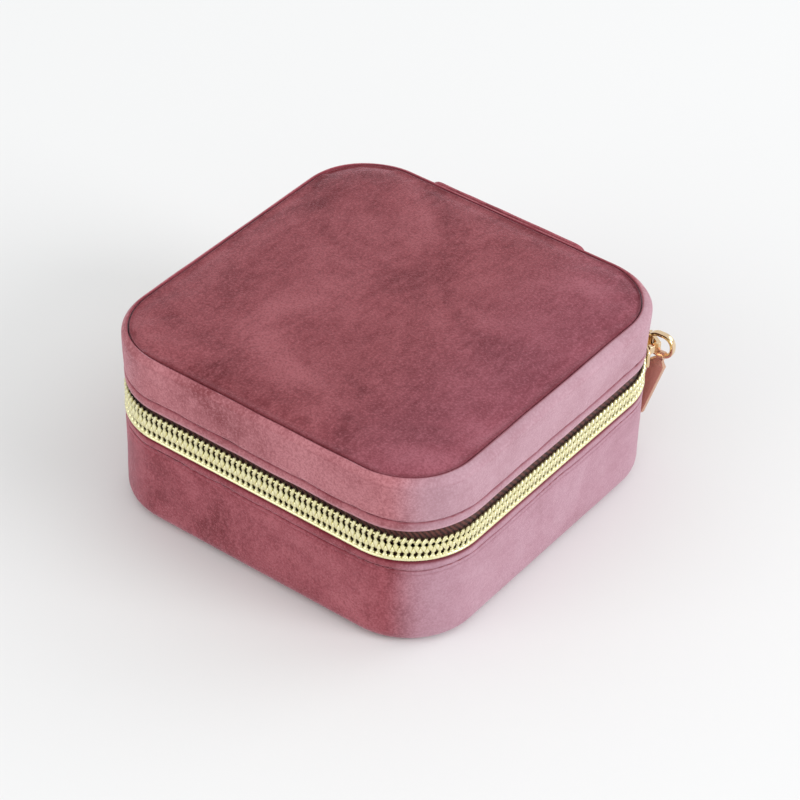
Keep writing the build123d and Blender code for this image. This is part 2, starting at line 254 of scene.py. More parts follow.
# ---- outlines and lofts ------------------------------------------------------------------------
@dataclass(frozen=True)
class Outline:
    """Rounded rectangle walked anticlockwise from the foot of its right side."""

    half_x: float
    half_y: float
    radius: float
    side_steps: int = 30
    corner_steps: int = 22

    @property
    def steps(self) -> int:
        """Number of stations on one side and its corner."""
        return self.side_steps + self.corner_steps

    @property
    def shape(self) -> Triple:
        """Half width, half depth and corner radius."""
        return self.half_x, self.half_y, self.radius

    def station(self, index: int) -> tuple[Vector, Vector]:
        """Finds one station.

        Args:
            index: Its number, from the foot of the right side.

        Returns:
            Its core point and outward direction.
        """
        part, rest = divmod(index % (4 * self.steps), self.steps)
        x, y = self.half_x - self.radius, self.half_y - self.radius
        corners = [(x, -y), (x, y), (-x, y), (-x, -y)]
        start, end = Vector(corners[part]), Vector(corners[(part + 1) % 4])
        core = start.lerp(end, min(1.0, rest / self.side_steps))
        angle = (part + max(0.0, rest - self.side_steps) / self.corner_steps) * QUARTER
        return core, Vector((math.cos(angle), math.sin(angle)))

    def point(self, index: int, inset: float, height: float) -> Vector:
        """Finds a station's place on a row.

        Args:
            index: Number of the station.
            inset: How far the row is moved in.
            height: Height of the row.

        Returns:
            The place.
        """
        core, out = self.station(index)
        flat = core + out * (self.radius - inset)
        return Vector((flat.x, flat.y, height))

    def part_lengths(self) -> list[float]:
        """Lengths of side, corner, side, corner and so on, eight in all."""
        turn = self.radius * QUARTER
        return [2 * (self.half_y - self.radius), turn, 2 * (self.half_x - self.radius), turn] * 2

    def along(self, distance: float) -> tuple[Vector, Vector]:
        """Walks round the outline.

        Args:
            distance: Length walked from the foot of the right side.

        Returns:
            The point reached and its outward direction.
        """
        lengths = self.part_lengths()
        rest = distance % sum(lengths)
        for part, length in enumerate(lengths):
            if rest <= length:
                break
            rest -= length
        quarter, on_corner = divmod(part, 2)
        angle = quarter * QUARTER + on_corner * rest / self.radius
        core, _ = self.station((quarter + on_corner) * self.steps)
        out = Vector((math.cos(angle), math.sin(angle), 0.0))
        if not on_corner:
            core = core + Vector((-out.y, out.x)) * rest
        return core.to_3d() + out * self.radius, out


def rows_at(level: float, side: int, *pairs: Row) -> list[Row]:
    """Rows given in millimetres as inset and height above, or for side -1 below, a level."""
    return [(inset * MM, level + side * rise * MM) for inset, rise in pairs]


def level_rows(inset: float, low: float, high: float, steps: int) -> list[Row]:
    """Rows straight up a wall, without its two ends."""
    return [(inset, low + (high - low) * s / steps) for s in range(1, steps)]


def arc_rows(inset: float, height: float, radius: float, last: float, steps: int) -> list[Row]:
    """Rows along a rounded edge.

    Args:
        inset: Inset of the arc's centre.
        height: Height of the arc's centre.
        radius: The arc's radius.
        last: Angle of the last row in degrees; the first points outwards, and 90 is up.
        steps: Number of steps between them.

    Returns:
        Inset and height of each row.
    """
    angles = [math.radians(last * step / steps) for step in range(steps + 1)]
    return [(inset - radius * math.cos(a), height + radius * math.sin(a)) for a in angles]


def loft(name: str, outline: Outline, rows: Sequence[Row], closing: Closing = Closing.BRIDGE,
         keep: Optional[Test] = None, other: Optional[tuple[Outline, int]] = None) -> Object:
    """Builds a wall that follows an outline, by extruding one ring of edges row by row.

    Args:
        name: Name of the new object.
        outline: The outline that the rows follow.
        rows: Inset and height of each row, in metres.
        closing: How the wall is closed.
        keep: Test of a point on the outline; stations that fail it are left out.
        other: A second outline, and the row from which it is followed.

    Returns:
        The new object, closed and facing outwards.
    """
    count = 4 * outline.steps
    obj = started(name, bpy.ops.mesh.primitive_circle_add, vertices=count, radius=outline.radius)
    keys = ("station", "row")
    for key in keys:
        obj.data.attributes.new(key, "INT", "POINT")
    obj.data.attributes["station"].data.foreach_set("value", list(range(count)))
    mesh = edit(obj)
    if keep is not None:
        station = mesh.verts.layers.int["station"]
        select_where(mesh, lambda v: not keep(outline.point(v[station], 0.0, 0.0)))
        bpy.ops.mesh.delete(type="VERT")
    bpy.ops.mesh.select_mode(type="VERT")
    select_all()
    for index, (inset, height) in enumerate(rows):
        if index:
            bpy.ops.mesh.extrude_region_move()
        mesh = bmesh.from_edit_mesh(obj.data)
        station, row_of = (mesh.verts.layers.int[key] for key in keys)
        path = other[0] if other is not None and index >= other[1] else outline
        for vert in mesh.verts:
            if vert.select:
                vert.co = path.point(vert[station], inset, height)
                vert[row_of] = index
        bmesh.update_edit_mesh(obj.data)
    if closing is Closing.BRIDGE:
        select_where(mesh, lambda v: v[row_of] in (0, len(rows) - 1))
        bpy.ops.mesh.bridge_edge_loops()
    select_all()
    bpy.ops.mesh.fill_holes(sides=0)
    done()
    for key in keys:
        obj.data.attributes.remove(obj.data.attributes[key])
    face_out(obj)
    return obj


def rounded_grid(name: str, shape: Triple, cells_x: int, cells_y: int) -> Object:
    """Flat grid whose border is a rounded rectangle, in the XY plane about the origin.

    Args:
        name: Name of the new object.
        shape: Half width, half depth and corner radius.
        cells_x: Cells across.
        cells_y: Cells along.

    Returns:
        The new object.
    """
    obj = started(name, bpy.ops.mesh.primitive_grid_add, x_subdivisions=cells_x,
                  y_subdivisions=cells_y, size=2.0)
    half_x, half_y, radius = shape
    core_x, core_y = half_x - radius, half_y - radius
    for vert in obj.data.vertices:
        x, y = vert.co.x * half_x, vert.co.y * half_y
        over_x, over_y = (abs(x) - core_x) / radius, (abs(y) - core_y) / radius
        if over_x > 0 and over_y > 0:
            bent_x = over_x * math.sqrt(1 - over_y * over_y / 2)
            bent_y = over_y * math.sqrt(1 - over_x * over_x / 2)
            x = math.copysign(core_x + bent_x * radius, x)
            y = math.copysign(core_y + bent_y * radius, y)
        vert.co = (x, y, 0.0)
    return obj


def skirt(obj: Object, drops: Sequence[Row], shape: Triple) -> None:
    """Folds the border of a rounded grid down, row by row, and closes its underside.

    Args:
        obj: The grid.
        drops: For each row, how far it moves in and down, in millimetres.
        shape: Half width, half depth and corner radius of the border.
    """
    half_x, half_y, radius = shape
    edit(obj)
    bpy.ops.mesh.select_mode(type="EDGE")
    bpy.ops.mesh.select_all(action="DESELECT")
    bpy.ops.mesh.select_non_manifold(extend=False)
    for inward, down in drops:
        bpy.ops.mesh.extrude_region_move()
        mesh = bmesh.from_edit_mesh(obj.data)
        for vert in (v for v in mesh.verts if v.select):
            away = vert.co.xy - core_point(vert.co, half_x - radius, half_y - radius)
            if away.length > 1e-9:
                away.normalize()
            vert.co.x -= away.x * (inward * MM)
            vert.co.y -= away.y * (inward * MM)
            vert.co.z -= down * MM
        bmesh.update_edit_mesh(obj.data)
    bpy.ops.mesh.edge_face_add()
    bpy.ops.mesh.quads_convert_to_tris(quad_method="BEAUTY", ngon_method="BEAUTY")
    done()
    face_out(obj)


# ---- cloth -------------------------------------------------------------------------------------
def ruffle(obj: Object, depth: float, scale: float, seed: float,
           where: Share = lambda co: 1.0) -> None:
    """Moves the surface in and out by smooth noise, as cloth over a board.

    Args:
        obj: The piece to change.
        depth: Largest movement, in millimetres.
        scale: Size of the noise's waves, in millimetres.
        seed: Shift of the noise.
        where: Share of the movement at a point.
    """
    normals = [v.normal.copy() for v in obj.data.vertices]
    for vert, normal in zip(obj.data.vertices, normals):
        value = noise.noise(vert.co / (scale * MM) + Vector((seed, seed * 0.7, -seed)))
        vert.co += normal * value * depth * MM * where(vert.co)


def shade_folds(obj: Object, share: Share) -> None:
    """Stores painted shade for each point: how deep in a fold it lies, which its finish paints
    darker.

    Args:
        obj: The piece.
        share: Painted shade at a point, from -1 for a painted highlight on a lit lip to 1.
    """
    layer = obj.data.attributes.new("fold", "FLOAT", "POINT")
    layer.data.foreach_set("value", [min(1.0, share(v.co)) for v in obj.data.vertices])


def pucker(obj: Object, line: float, seed: float) -> None:
    """Lets a sewn hem line wander up and down and gathers the cloth beside it.

    Args:
        obj: The wall that carries the hem.
        line: Height of the hem line.
        seed: Shift of the noise.
    """
    wander, depth, reach = 0.42 * MM, 0.20 * MM, 1.6 * MM
    normals = [v.normal.copy() for v in obj.data.vertices]
    for vert, normal in zip(obj.data.vertices, normals):
        near = bell(vert.co.z - line, reach)
        flat = Vector((vert.co.x, vert.co.y, seed * MM))
        gather = noise.noise(flat / (1.9 * MM)) + 0.5 * noise.noise(flat / (4.5 * MM))
        vert.co.z += near * wander * (noise.noise(flat / (9 * MM)) + 0.4 * gather)
        vert.co += normal * near * depth * gather


def puff(obj: Object, pressure: float, cap: float, hold: Test, frames: int) -> None:
    """Swells a closed piece by a short cloth simulation and applies the result.

    Args:
        obj: The piece.
        pressure: Pressure inside it.
        cap: The furthest that a point may move.
        hold: Test of the points that stay where they are.
        frames: Number of simulated frames.
    """
    before = [v.co.copy() for v in obj.data.vertices]
    held = obj.vertex_groups.new(name="held")
    held.add([v.index for v in obj.data.vertices if hold(v.co)], 1.0, "REPLACE")
    activate(obj)
    mod = obj.modifiers.new("cloth", "CLOTH")
    for key, value in CLOTH.items():
        setattr(mod.settings, key, value)
    mod.settings.uniform_pressure_force = pressure
    mod.settings.vertex_group_mass = held.name
    mod.settings.effector_weights.gravity = 0
    mod.collision_settings.use_collision = False
    mod.point_cache.frame_start = 1
    mod.point_cache.frame_end = frames
    for number in range(1, frames + 1):
        bpy.context.scene.frame_set(number)
    bpy.ops.object.modifier_apply(modifier=mod.name)
    bpy.context.scene.frame_set(1)
    for vert, old in zip(obj.data.vertices, before):
        moved = vert.co - old
        if moved.length > cap:
            vert.co = old + moved * (cap / moved.length)
    obj.vertex_groups.clear()


def repeat(name: str, pattern: Object, places: Iterable[Matrix]) -> Object:
    """Copies one modelled shape to many places in a single mesh, and removes the pattern.

    Args:
        name: Name of the new object.
        pattern: The shape, modelled about the origin.
        places: Where each copy goes.

    Returns:
        The object that holds all copies.
    """
    mesh = bmesh.new()
    for place in places:
        copy = pattern.data.copy()
        copy.transform(place)
        mesh.from_mesh(copy)
        bpy.data.meshes.remove(copy)
    data = bpy.data.meshes.new(name)
    mesh.to_mesh(data)
    mesh.free()
    bpy.data.objects.remove(pattern, do_unlink=True)
    return linked(name, data)


def stand(point: Vector, out: Vector, height: float, lift: float) -> Matrix:
    """Stands a shape on the outline, its x along it, y outwards and z up.

    Args:
        point: A point of the outline.
        out: Outward direction there.
        height: Height of the shape's origin.
        lift: How far out it is moved.

    Returns:
        The matrix.
    """
    walk = Vector((-out.y, out.x, 0.0))
    return axes_at(walk, out, UP, point + out * lift + UP * height)


def stitch_shape() -> Object:
    """One stitch: a short thread that dips at both ends, along x."""
    obj = started("stitch", bpy.ops.mesh.primitive_cylinder_add, vertices=6,
                  radius=STITCH_RADIUS, depth=2 * STITCH_HALF, rotation=(0, QUARTER, 0))
    settle(obj)
    edit(obj)
    select_all()
    bpy.ops.mesh.subdivide(number_cuts=1)
    done()
    for vert in obj.data.vertices:
        share = abs(vert.co.x) / STITCH_HALF
        vert.co.y -= STITCH_DIP * share ** 2
        vert.co.z *= 1.0 - 0.35 * share
    return obj


# ---- finishes ----------------------------------------------------------------------------------
class Graph:
    """Small writer of a material's nodes."""

    def __init__(self, name: str) -> None:
        """Starts a material with a Principled shader."""
        self.material = bpy.data.materials.new(name)
        self.material.use_nodes = True
        self.tree = self.material.node_tree
        self.shader = self.tree.nodes["Principled BSDF"]
        self.coordinates = self.tree.nodes.new("ShaderNodeTexCoord").outputs["Object"]

    def node(self, kind: str, out: object, inputs: dict, **settings: object) -> Socket:
        """Adds a node.

        Args:
            kind: Blender's name of the node type.
            out: Name or number of the output that is wanted.
            inputs: Sockets to link, or values to set, by input name or number.
            settings: The node's properties.

        Returns:
            The wanted output.
        """
        made = self.tree.nodes.new(kind)
        for key, value in settings.items():
            setattr(made, key, value)
        for key, value in inputs.items():
            if isinstance(value, Socket):
                self.tree.links.new(value, made.inputs[key])
            else:
                made.inputs[key].default_value = value
        return made.outputs[out]

    def noise(self, scale: float, detail: float = 3.0, roughness: float = 0.55,
              vector: Optional[Socket] = None, warp: float = 0.0) -> Socket:
        """Adds a noise.

        Args:
            scale: Waves per metre.
            detail: Octaves.
            roughness: Share of the finer octaves.
            vector: Coordinates, if not the object's own.
            warp: Distortion.

        Returns:
            Its value, between 0 and 1.
        """
        return self.node("ShaderNodeTexNoise", "Fac", {
            "Scale": scale, "Detail": detail, "Roughness": roughness, "Distortion": warp,
            "Vector": vector or self.coordinates})

    def strokes(self, scale: Triple, turn: Triple, detail: float, roughness: float) -> Socket:
        """Noise drawn out along turned and scaled object coordinates."""
        vector = self.node("ShaderNodeMapping", "Vector", {
            "Vector": self.coordinates, "Scale": scale, "Rotation": turn})
        return self.noise(1.0, detail, roughness, vector)

    def fold(self) -> Socket:
        """Painted shade of folds and painted highlight of lit lips, as stored on the mesh."""
        return self.node("ShaderNodeAttribute", "Fac", {}, attribute_name="fold")

    def ramp(self, value: Socket, *stops: tuple[float, Colour]) -> Socket:
        """Looks a colour up.

        Args:
            value: What it is looked up from.
            stops: Place and colour of each stop.

        Returns:
            The colour.
        """
        colour = self.node("ShaderNodeValToRGB", "Color", {"Fac": value})
        elements = colour.node.color_ramp.elements
        while len(elements) < len(stops):
            elements.new(0.5)
        for element, (place, tone) in zip(elements, stops):
            element.position = place
            element.color = (*tone, 1.0)
        return colour

    def mix(self, share: Socket, first: Socket, second: Colour, blend: str = "MIX") -> Socket:
        """Mixes a plain colour into another by a share."""
        return self.node("ShaderNodeMix", 2, {0: share, 6: first, 7: (*second, 1.0)},
                         data_type="RGBA", blend_type=blend)

    def spread(self, value: Socket, low: float, high: float, to_low: float = 0.0,
               to_high: float = 1.0) -> Socket:
        """Maps a value from one range to another by a clamped smooth step.

        Args:
            value: The value.
            low: Start of its range.
            high: End of its range.
            to_low: Result at the start.
            to_high: Result at the end.

        Returns:
            The result.
        """
        return self.node("ShaderNodeMapRange", "Result", {
            "Value": value, "From Min": low, "From Max": high, "To Min": to_low,
            "To Max": to_high}, interpolation_type="SMOOTHSTEP")

    def finish(self, colour: object, rough: object,
               bumps: Sequence[tuple[Socket, float, float]], **values: object) -> Material:
        """Links everything to the shader.

        Args:
            colour: Base colour, as a socket or a value.
            rough: Roughness, as a socket or a value.
            bumps: Height, strength and distance of each bump.
            values: Other inputs of the shader.

        Returns:
            The material.
        """
        values.update(Base_Color=colour, Roughness=rough)
        for height, strength, distance in bumps:
            inputs = {"Height": height, "Strength": strength, "Distance": distance}
            if "Normal" in values:
                inputs["Normal"] = values["Normal"]
            values["Normal"] = self.node("ShaderNodeBump", "Normal", inputs)
        for key, value in values.items():
            socket = self.shader.inputs[key.replace("_", " ")]
            if isinstance(value, Socket):
                self.tree.links.new(value, socket)
            else:
                socket.default_value = value
        return self.material


@dataclass(frozen=True)
class Velvet:
    """Short cut-pile velvet: brushed patches, fine grain and a soft sheen.

    Towards +X a paler, cooler tone is painted into the colour: painted sheen that stands in for
    the light from the right falling on that side; it also evens the patches out.
    """

    deep: Colour
    middle: Colour
    light: Colour
    sheen: float = 0.6
    patch_scale: float = 46.0
    stroke_turn: float = 0.6
    painted_sheen: float = 1.0
    painted_sheen_tint: Colour = (1.37, 3.06, 3.05)
    even_out: float = 0.62
    painted_sheen_from: float = 37 * MM
    painted_sheen_to: float = 49.5 * MM
    # Colour of the painted highlight on lit lips.
    lip: Colour = (0.66, 0.36, 0.42)
    sheen_tint: Colour = (1.0, 0.74, 0.84)

    def build(self, name: str) -> Material:
        """Returns the material."""
        g = Graph(name)
        patches = g.noise(self.patch_scale, 5.0, 0.62, warp=0.5)
        strokes = g.strokes((560, 210, 340), (0.2, 0.1, self.stroke_turn), 4.0, 0.65)
        grain = g.noise(1650.0, 4.0, 0.80)
        colour = g.ramp(patches, (0.33, self.deep), (0.50, self.middle), (0.68, self.light))
        for source, low, high, at_low, at_high, tone in (
                (strokes, 0.42, 0.66, 0.0, 0.34, self.light),
                (strokes, 0.34, 0.46, 0.22, 0.0, self.deep),
                (grain, 0.36, 0.56, 0.50, 0.0, self.deep),
                (grain, 0.50, 0.64, 0.0, 0.60, self.light)):
            colour = g.mix(g.spread(source, low, high, at_low, at_high), colour, tone)
        # Painted sheen: a paler, cooler tone painted in towards +X, where the light from the right
        # falls, which also evens the patches out.
        if self.painted_sheen:
            x = g.node("ShaderNodeSeparateXYZ", "X", {"Vector": g.coordinates})
            side = g.spread(x, self.painted_sheen_from, self.painted_sheen_to, 0.0, self.painted_sheen)
            even = tuple(m * t for m, t in zip(self.middle, self.painted_sheen_tint))
            colour = g.mix(side, colour, self.painted_sheen_tint, "MULTIPLY")
            colour = g.mix(g.spread(side, 0.0, 1.0, 0.0, self.even_out), colour, even)
        # Painted shade in folds and creases from stored values up to 1, and a painted highlight on
        # lit lips from values below 0.
        fold = g.fold()
        dark = (0.85 * self.deep[0], 0.45 * self.deep[1], 0.60 * self.deep[2])
        colour = g.mix(g.spread(fold, -1.0, 0.0, 0.75, 0.0), colour, self.lip)
        colour = g.mix(g.spread(fold, 0.0, 1.0, 0.0, 0.88), colour, dark)
        return g.finish(colour, g.spread(patches, 0.3, 0.7, 0.95, 0.8),
                        [(grain, 0.90, 0.20 * MM), (strokes, 0.30, 0.25 * MM)],
                        Sheen_Weight=self.sheen, Sheen_Roughness=0.34,
                        Sheen_Tint=(*self.sheen_tint, 1.0), Specular_IOR_Level=0.08)


@dataclass(frozen=True)
class Tape:
    """Woven zip tape with fine ribs."""

    colour: Colour

    def build(self, name: str) -> Material:
        """Returns the material."""
        g = Graph(name)
        weave = g.node("ShaderNodeTexWave", "Fac", {
            "Vector": g.coordinates, "Scale": 360.0, "Distortion": 0.8, "Detail": 1.0},
            wave_type="BANDS", bands_direction="DIAGONAL")
        grain = g.noise(2600.0)
        dark, pale = (tuple(c * share for c in self.colour) for share in (0.22, 1.7))
        colour = g.mix(g.spread(grain, 0.4, 0.7, 0.0, 0.35),
                       g.ramp(weave, (0.2, dark), (0.8, self.colour)), pale)
        return g.finish(colour, 0.85, [(weave, 0.5, 0.10 * MM), (grain, 0.3, 0.08 * MM)],
                        Sheen_Weight=0.25, Specular_IOR_Level=0.2)


@dataclass(frozen=True)
class Plated:
    """Plated or lacquered metal with faint scratches and handling marks, and painted shade from
    the stored fold values where shaded is set.
    """

    colour: Colour
    worn: Colour
    roughness: float
    metallic: float = 1.0
    coat: float = 0.0
    shaded: float = 0.0

    def build(self, name: str) -> Material:
        """Returns the material."""
        g = Graph(name)
        marks = g.noise(900.0, 4.0, 0.6)
        scratches = g.strokes((1800, 1800, 160), (0.5, 0.3, 0.2), 3.0, 0.5)
        colour = g.mix(g.spread(marks, 0.5, 0.75, 0.0, 0.6),
                       g.ramp(scratches, (0.3, self.colour), (0.8, self.worn)), self.worn)
        # Painted shade: darker towards the back of each piece, from the stored fold values.
        if self.shaded:
            dark = tuple(c * 0.16 for c in self.colour)
            colour = g.mix(g.spread(g.fold(), 0.15, 0.75, 0.0, self.shaded), colour, dark)
        rough = g.spread(scratches, 0.3, 0.7, self.roughness * 0.75, self.roughness * 1.3)
        return g.finish(colour, rough, [(scratches, 0.08, 0.04 * MM), (marks, 0.06, 0.05 * MM)],
                        Metallic=self.metallic, Coat_Weight=self.coat, Coat_Roughness=0.15)


@dataclass(frozen=True)
class Board:
    """Pressed grey board or foam that lies under the cloth."""

    colour: Colour
    cell: float

    def build(self, name: str) -> Material:
        """Returns the material."""
        g = Graph(name)
        fibres = g.noise(self.cell, 5.0, 0.7)
        dark = tuple(c * 0.7 for c in self.colour)
        return g.finish(g.ramp(fibres, (0.3, dark), (0.7, self.colour)), 0.9,
                        [(fibres, 0.4, 0.2 * MM)], Specular_IOR_Level=0.15)


@dataclass(frozen=True)
class MirrorGlass:
    """Silvered mirror glass with the faintest haze."""

    dull: Colour = (0.86, 0.88, 0.88)
    clear: Colour = (0.92, 0.93, 0.93)

    def build(self, name: str) -> Material:
        """Returns the material."""
        g = Graph(name)
        haze = g.noise(60.0, 3.0)
        return g.finish(g.ramp(haze, (0.2, self.dull), (0.8, self.clear)),
                        g.spread(haze, 0.3, 0.8, 0.015, 0.05), [], Metallic=1.0,
                        Coat_Weight=1.0, Coat_Roughness=0.02)


@dataclass(frozen=True)
class Look:
    """A built material and the record's slot that it fills."""

    material: Material
    slot: str


class Wardrobe:
    """All finishes of the case, each built once."""

    def __init__(self) -> None:
        """Builds every finish."""
        def look(finish: object, name: str, slot: str = "") -> Look:
            """Builds one finish; its slot has its name unless another is given."""
            return Look(finish.build(name), slot or name)

        rose = "rose_velvet"
        self.rose = look(Velvet((0.180, 0.034, 0.042), (0.318, 0.079, 0.098),
                                (0.430, 0.128, 0.152)), rose)
        # The lid wall's copy of the rose velvet is painted lighter for the light that falls on the
        # lid, and carries painted sheen towards +X.
        self.rose_lid_painted_lit = look(Velvet((0.240, 0.060, 0.070), (0.440, 0.160, 0.182),
                                    (0.550, 0.225, 0.250), painted_sheen_tint=(1.09, 1.80, 1.87)),
                             "rose_velvet_lid_painted_lit", rose)
        # The top's copy of the rose velvet is painted darker for the light that falls on the top,
        # with painted sheen that starts near its middle.
        self.rose_top_painted_shade = look(Velvet((0.125, 0.023, 0.028), (0.228, 0.053, 0.063),
                                    (0.350, 0.104, 0.120), patch_scale=38.0, sheen=0.5,
                                    even_out=0.2, stroke_turn=-0.5, painted_sheen_from=5 * MM,
                                    painted_sheen_to=50 * MM, painted_sheen_tint=(1.15, 1.32, 1.48)),
                             "rose_velvet_top_painted_shade", rose)
        self.lining = look(Velvet((0.180, 0.050, 0.062), (0.300, 0.098, 0.118),
                                  (0.390, 0.150, 0.175), sheen=0.5, patch_scale=60.0,
                                  stroke_turn=1.1, painted_sheen=0.0), "lining_velvet")
        self.thread = look(Plated((0.250, 0.060, 0.080), (0.330, 0.100, 0.120), 0.55, 0.0),
                           "rose_thread", rose)
        self.tape = look(Tape((0.115, 0.036, 0.028)), "zip_tape")
        # This gold is painted darker towards the back of each tooth, as painted shade.
        self.gold = look(Plated((0.840, 0.780, 0.410), (0.920, 0.880, 0.590), 0.24, 0.75, 0.4,
                                0.9), "zip_gold", "zip_coil")
        self.rose_gold = look(Plated((0.690, 0.410, 0.285), (0.720, 0.445, 0.320), 0.18, 0.72,
                                     0.4), "rose_gold")
        self.warm_gold = look(Plated((0.780, 0.550, 0.320), (0.860, 0.680, 0.460), 0.11, 1.0,
                                     0.3), "warm_gold", "rose_gold")
        self.board = look(Board((0.42, 0.40, 0.37), 900.0), "grey_board")
        self.foam = look(Board((0.82, 0.80, 0.74), 2600.0), "soft_foam")
        self.mirror = look(MirrorGlass(), "mirror_glass")


def hand_over(obj: Object, look: Look, body: Optional[Body], nodes: Sequence[str] = (),
              angle: float = 60.0) -> Object:
    """Shades a finished piece and gives it its material, its body and its nodes.

    Args:
        obj: The finished piece.
        look: Its material and slot.
        body: The body it rides on, or None where it rides on none.
        nodes: CAD nodes that are hidden for it.
        angle: Creases sharper than this many degrees are kept.

    Returns:
        The same object.
    """
    activate(obj)
    bpy.ops.object.shade_smooth_by_angle(angle=math.radians(angle))
    obj.data.materials.clear()
    obj.data.materials.append(look.material)
    if body is not None:
        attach(obj, body.value)
    if nodes:
        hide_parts(*nodes)
    LOG.info("%s: %d faces", obj.name, len(obj.data.polygons))
    return obj


# ---- sub-assemblies ----------------------------------------------------------------------------
@dataclass(frozen=True)
class CaseSizes:
    """Heights and outline of the case, read from the frame."""

    outline: Outline
    base_rim: float
    lid_rim: float
    top_edge: float
    chain_low: float
    chain_high: float
    cover: float
    wall: float
    floor: float
    ceiling: float

    @classmethod
    def read(cls) -> "CaseSizes":
        """Reads the sizes from the frame's nodes and joints."""
        _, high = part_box("base_wall_cover")
        lid_low, lid_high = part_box("lid_wall_cover")
        _, pad_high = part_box("mirror_frame")
        return cls(
            outline=Outline(high[0], high[1], high[0] - joint("slider_track")["pos_m"][0]),
            base_rim=high[2],
            lid_rim=lid_low[2],
            top_edge=lid_high[2],
            chain_low=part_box("zip_lower_coil")[0][2],
            chain_high=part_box("zip_upper_coil")[1][2],
            cover=high[0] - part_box("zip_lower_tape")[1][0],
            wall=high[0] - pad_high[0],
            floor=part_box("ring_roll_1")[0][2],
            ceiling=pad_high[2],
        )

    def hem_rows(self, rim: float, line: float, crease: float, side: int) -> list[Row]:
        """Rows of a wall cover from inside its rim, over the rolled edge and past the hem line.

        Args:
            rim: Height of the rim.
            line: Height of the hem line.
            crease: Depth of the hem line.
            side: 1 where the wall goes up from its rim, -1 where it goes down.

        Returns:
            Inset and height of each row.
        """
        c = self.cover / MM
        edge = rows_at(rim, side, (c, 0.8), (c, 0.25), (0.9, 0), (0.45, 0), (0.12, 0.25), (0, 0.8))
        wall = level_rows(-0.05 * MM, rim + side * 0.8 * MM, line - side * 0.5 * MM, 3)
        return edge + wall + rows_at(line, side, (0, -0.42), (0.12, -0.2), (crease / MM, 0),
                                     (0.2, 0.2), (0.04, 0.5))

    def lining_rows(self, rim: float, side: int) -> list[Row]:
        """Rows of a lining's turned rim; side is 1 where the wall goes up from it, or -1."""
        start, w = self.cover / MM + 0.65, self.wall / MM
        return rows_at(rim, side, (start, 1.0), (start, 0.3), (start + 0.3, 0), (w - 0.5, 0),
                       (w - 0.12, 0.15), (w, 0.6))


@dataclass
class Assembly:
    """A sub-assembly of the case."""

    sizes: CaseSizes
    looks: Wardrobe

    def dress(self) -> None:
        """Builds all pieces of the sub-assembly."""
        raise NotImplementedError

    def hem_thread(self, name: str, body: Body, patch: str, height: float) -> None:
        """Sews a hem with a row of stitches round the case, except behind the hinge strip.

        Args:
            name: Name of the new object.
            body: The body that carries it.
            patch: The node of the strip's part behind which nothing is sewn.
            height: Height of the row.
        """
        pitch, lift, wander = 2.5 * MM, -0.12 * MM, 0.12 * MM
        low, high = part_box(patch)
        outline = self.sizes.outline
        total = sum(outline.part_lengths())
        count = int(total / pitch)
        places = []
        for index in range(count):
            point, out = outline.along(index * total / count)
            if not (point.y > 0 and low[0] - MM < point.x < high[0] + MM):
                shift = noise.noise(Vector((index * 0.11, height * 900, 0))) * wander
                places.append(stand(point, out, height + shift, lift))
        hand_over(repeat(name, stitch_shape(), places), self.looks.thread, body)


@dataclass
class BaseShell(Assembly):
    """Outside of the base: velvet wall with a turned hem, and the bottom panel."""

    rounding: float = 3.6 * MM
    bottom_inset: float = 5.0 * MM
    hem: float = 2.6 * MM
    crease: float = 0.36 * MM
    second_crease: float = 0.16 * MM

    def wall(self) -> None:
        """Builds the wall cover from the rim down, under the edge and up inside."""
        z, r, c = self.sizes.base_rim, self.rounding, self.sizes.cover
        line, b = z - self.hem, self.bottom_inset / MM
        rows = self.sizes.hem_rows(z, line, self.crease, -1)
        rows += rows_at(line, -1, (0.02, 0.9), (self.second_crease / MM, 1.2), (0.06, 1.45),
                        (0, 1.9))
        rows += level_rows(0.0, line - 1.9 * MM, r, 10) + arc_rows(r, r, r, -90, 7)
        rows += rows_at(0.0, 1, (b - 0.5, 0), (b - 0.1, 0.15), (b, 0.8), (b, c / MM))
        rows += [(r, c), (c, r)]
        obj = loft("velvet_base_wall", self.sizes.outline, rows)
        ruffle(obj, 0.16, 9, 3.0, lambda co: min(1.0, max(0.0, co.z / (6 * MM))))
        # Painted shade in the hem's creases, a painted shadow line under the chain at the rim, and
        # a painted highlight on the lip between the creases.
        shade_folds(obj, lambda co: 0.62 * bell(co.z - line, 0.42 * MM)
                    + 0.34 * bell(co.z - line + 1.2 * MM, 0.36 * MM)
                    + 1.00 * bell(co.z - z, 0.75 * MM)
                    - 0.22 * bell(co.z - line + 0.62 * MM, 0.3 * MM))
        pucker(obj, line - 0.5 * MM, 8.0)
        hand_over(obj, self.looks.rose, Body.BASE, ["base_wall_cover"])

    def bottom(self) -> None:
        """Builds the bottom panel, tucked under the wall's edge."""
        b = self.bottom_inset / MM + 0.08
        rows = rows_at(0.0, 1, (b, self.sizes.cover / MM), (b, 0.5), (b + 0.15, 0.1),
                       (b + 0.5, 0), (b + 4, 0))
        obj = loft("velvet_base_bottom", self.sizes.outline, rows, Closing.CAPS)
        hand_over(obj, self.looks.rose, Body.BASE, ["base_bottom_cover"], 50)

    def dress(self) -> None:
        """Builds all pieces of the sub-assembly."""
        self.wall()
        self.bottom()
        self.hem_thread("thread_base_hem", Body.BASE, "hinge_patch_base",
                        self.sizes.base_rim - self.hem + 0.05 * MM)


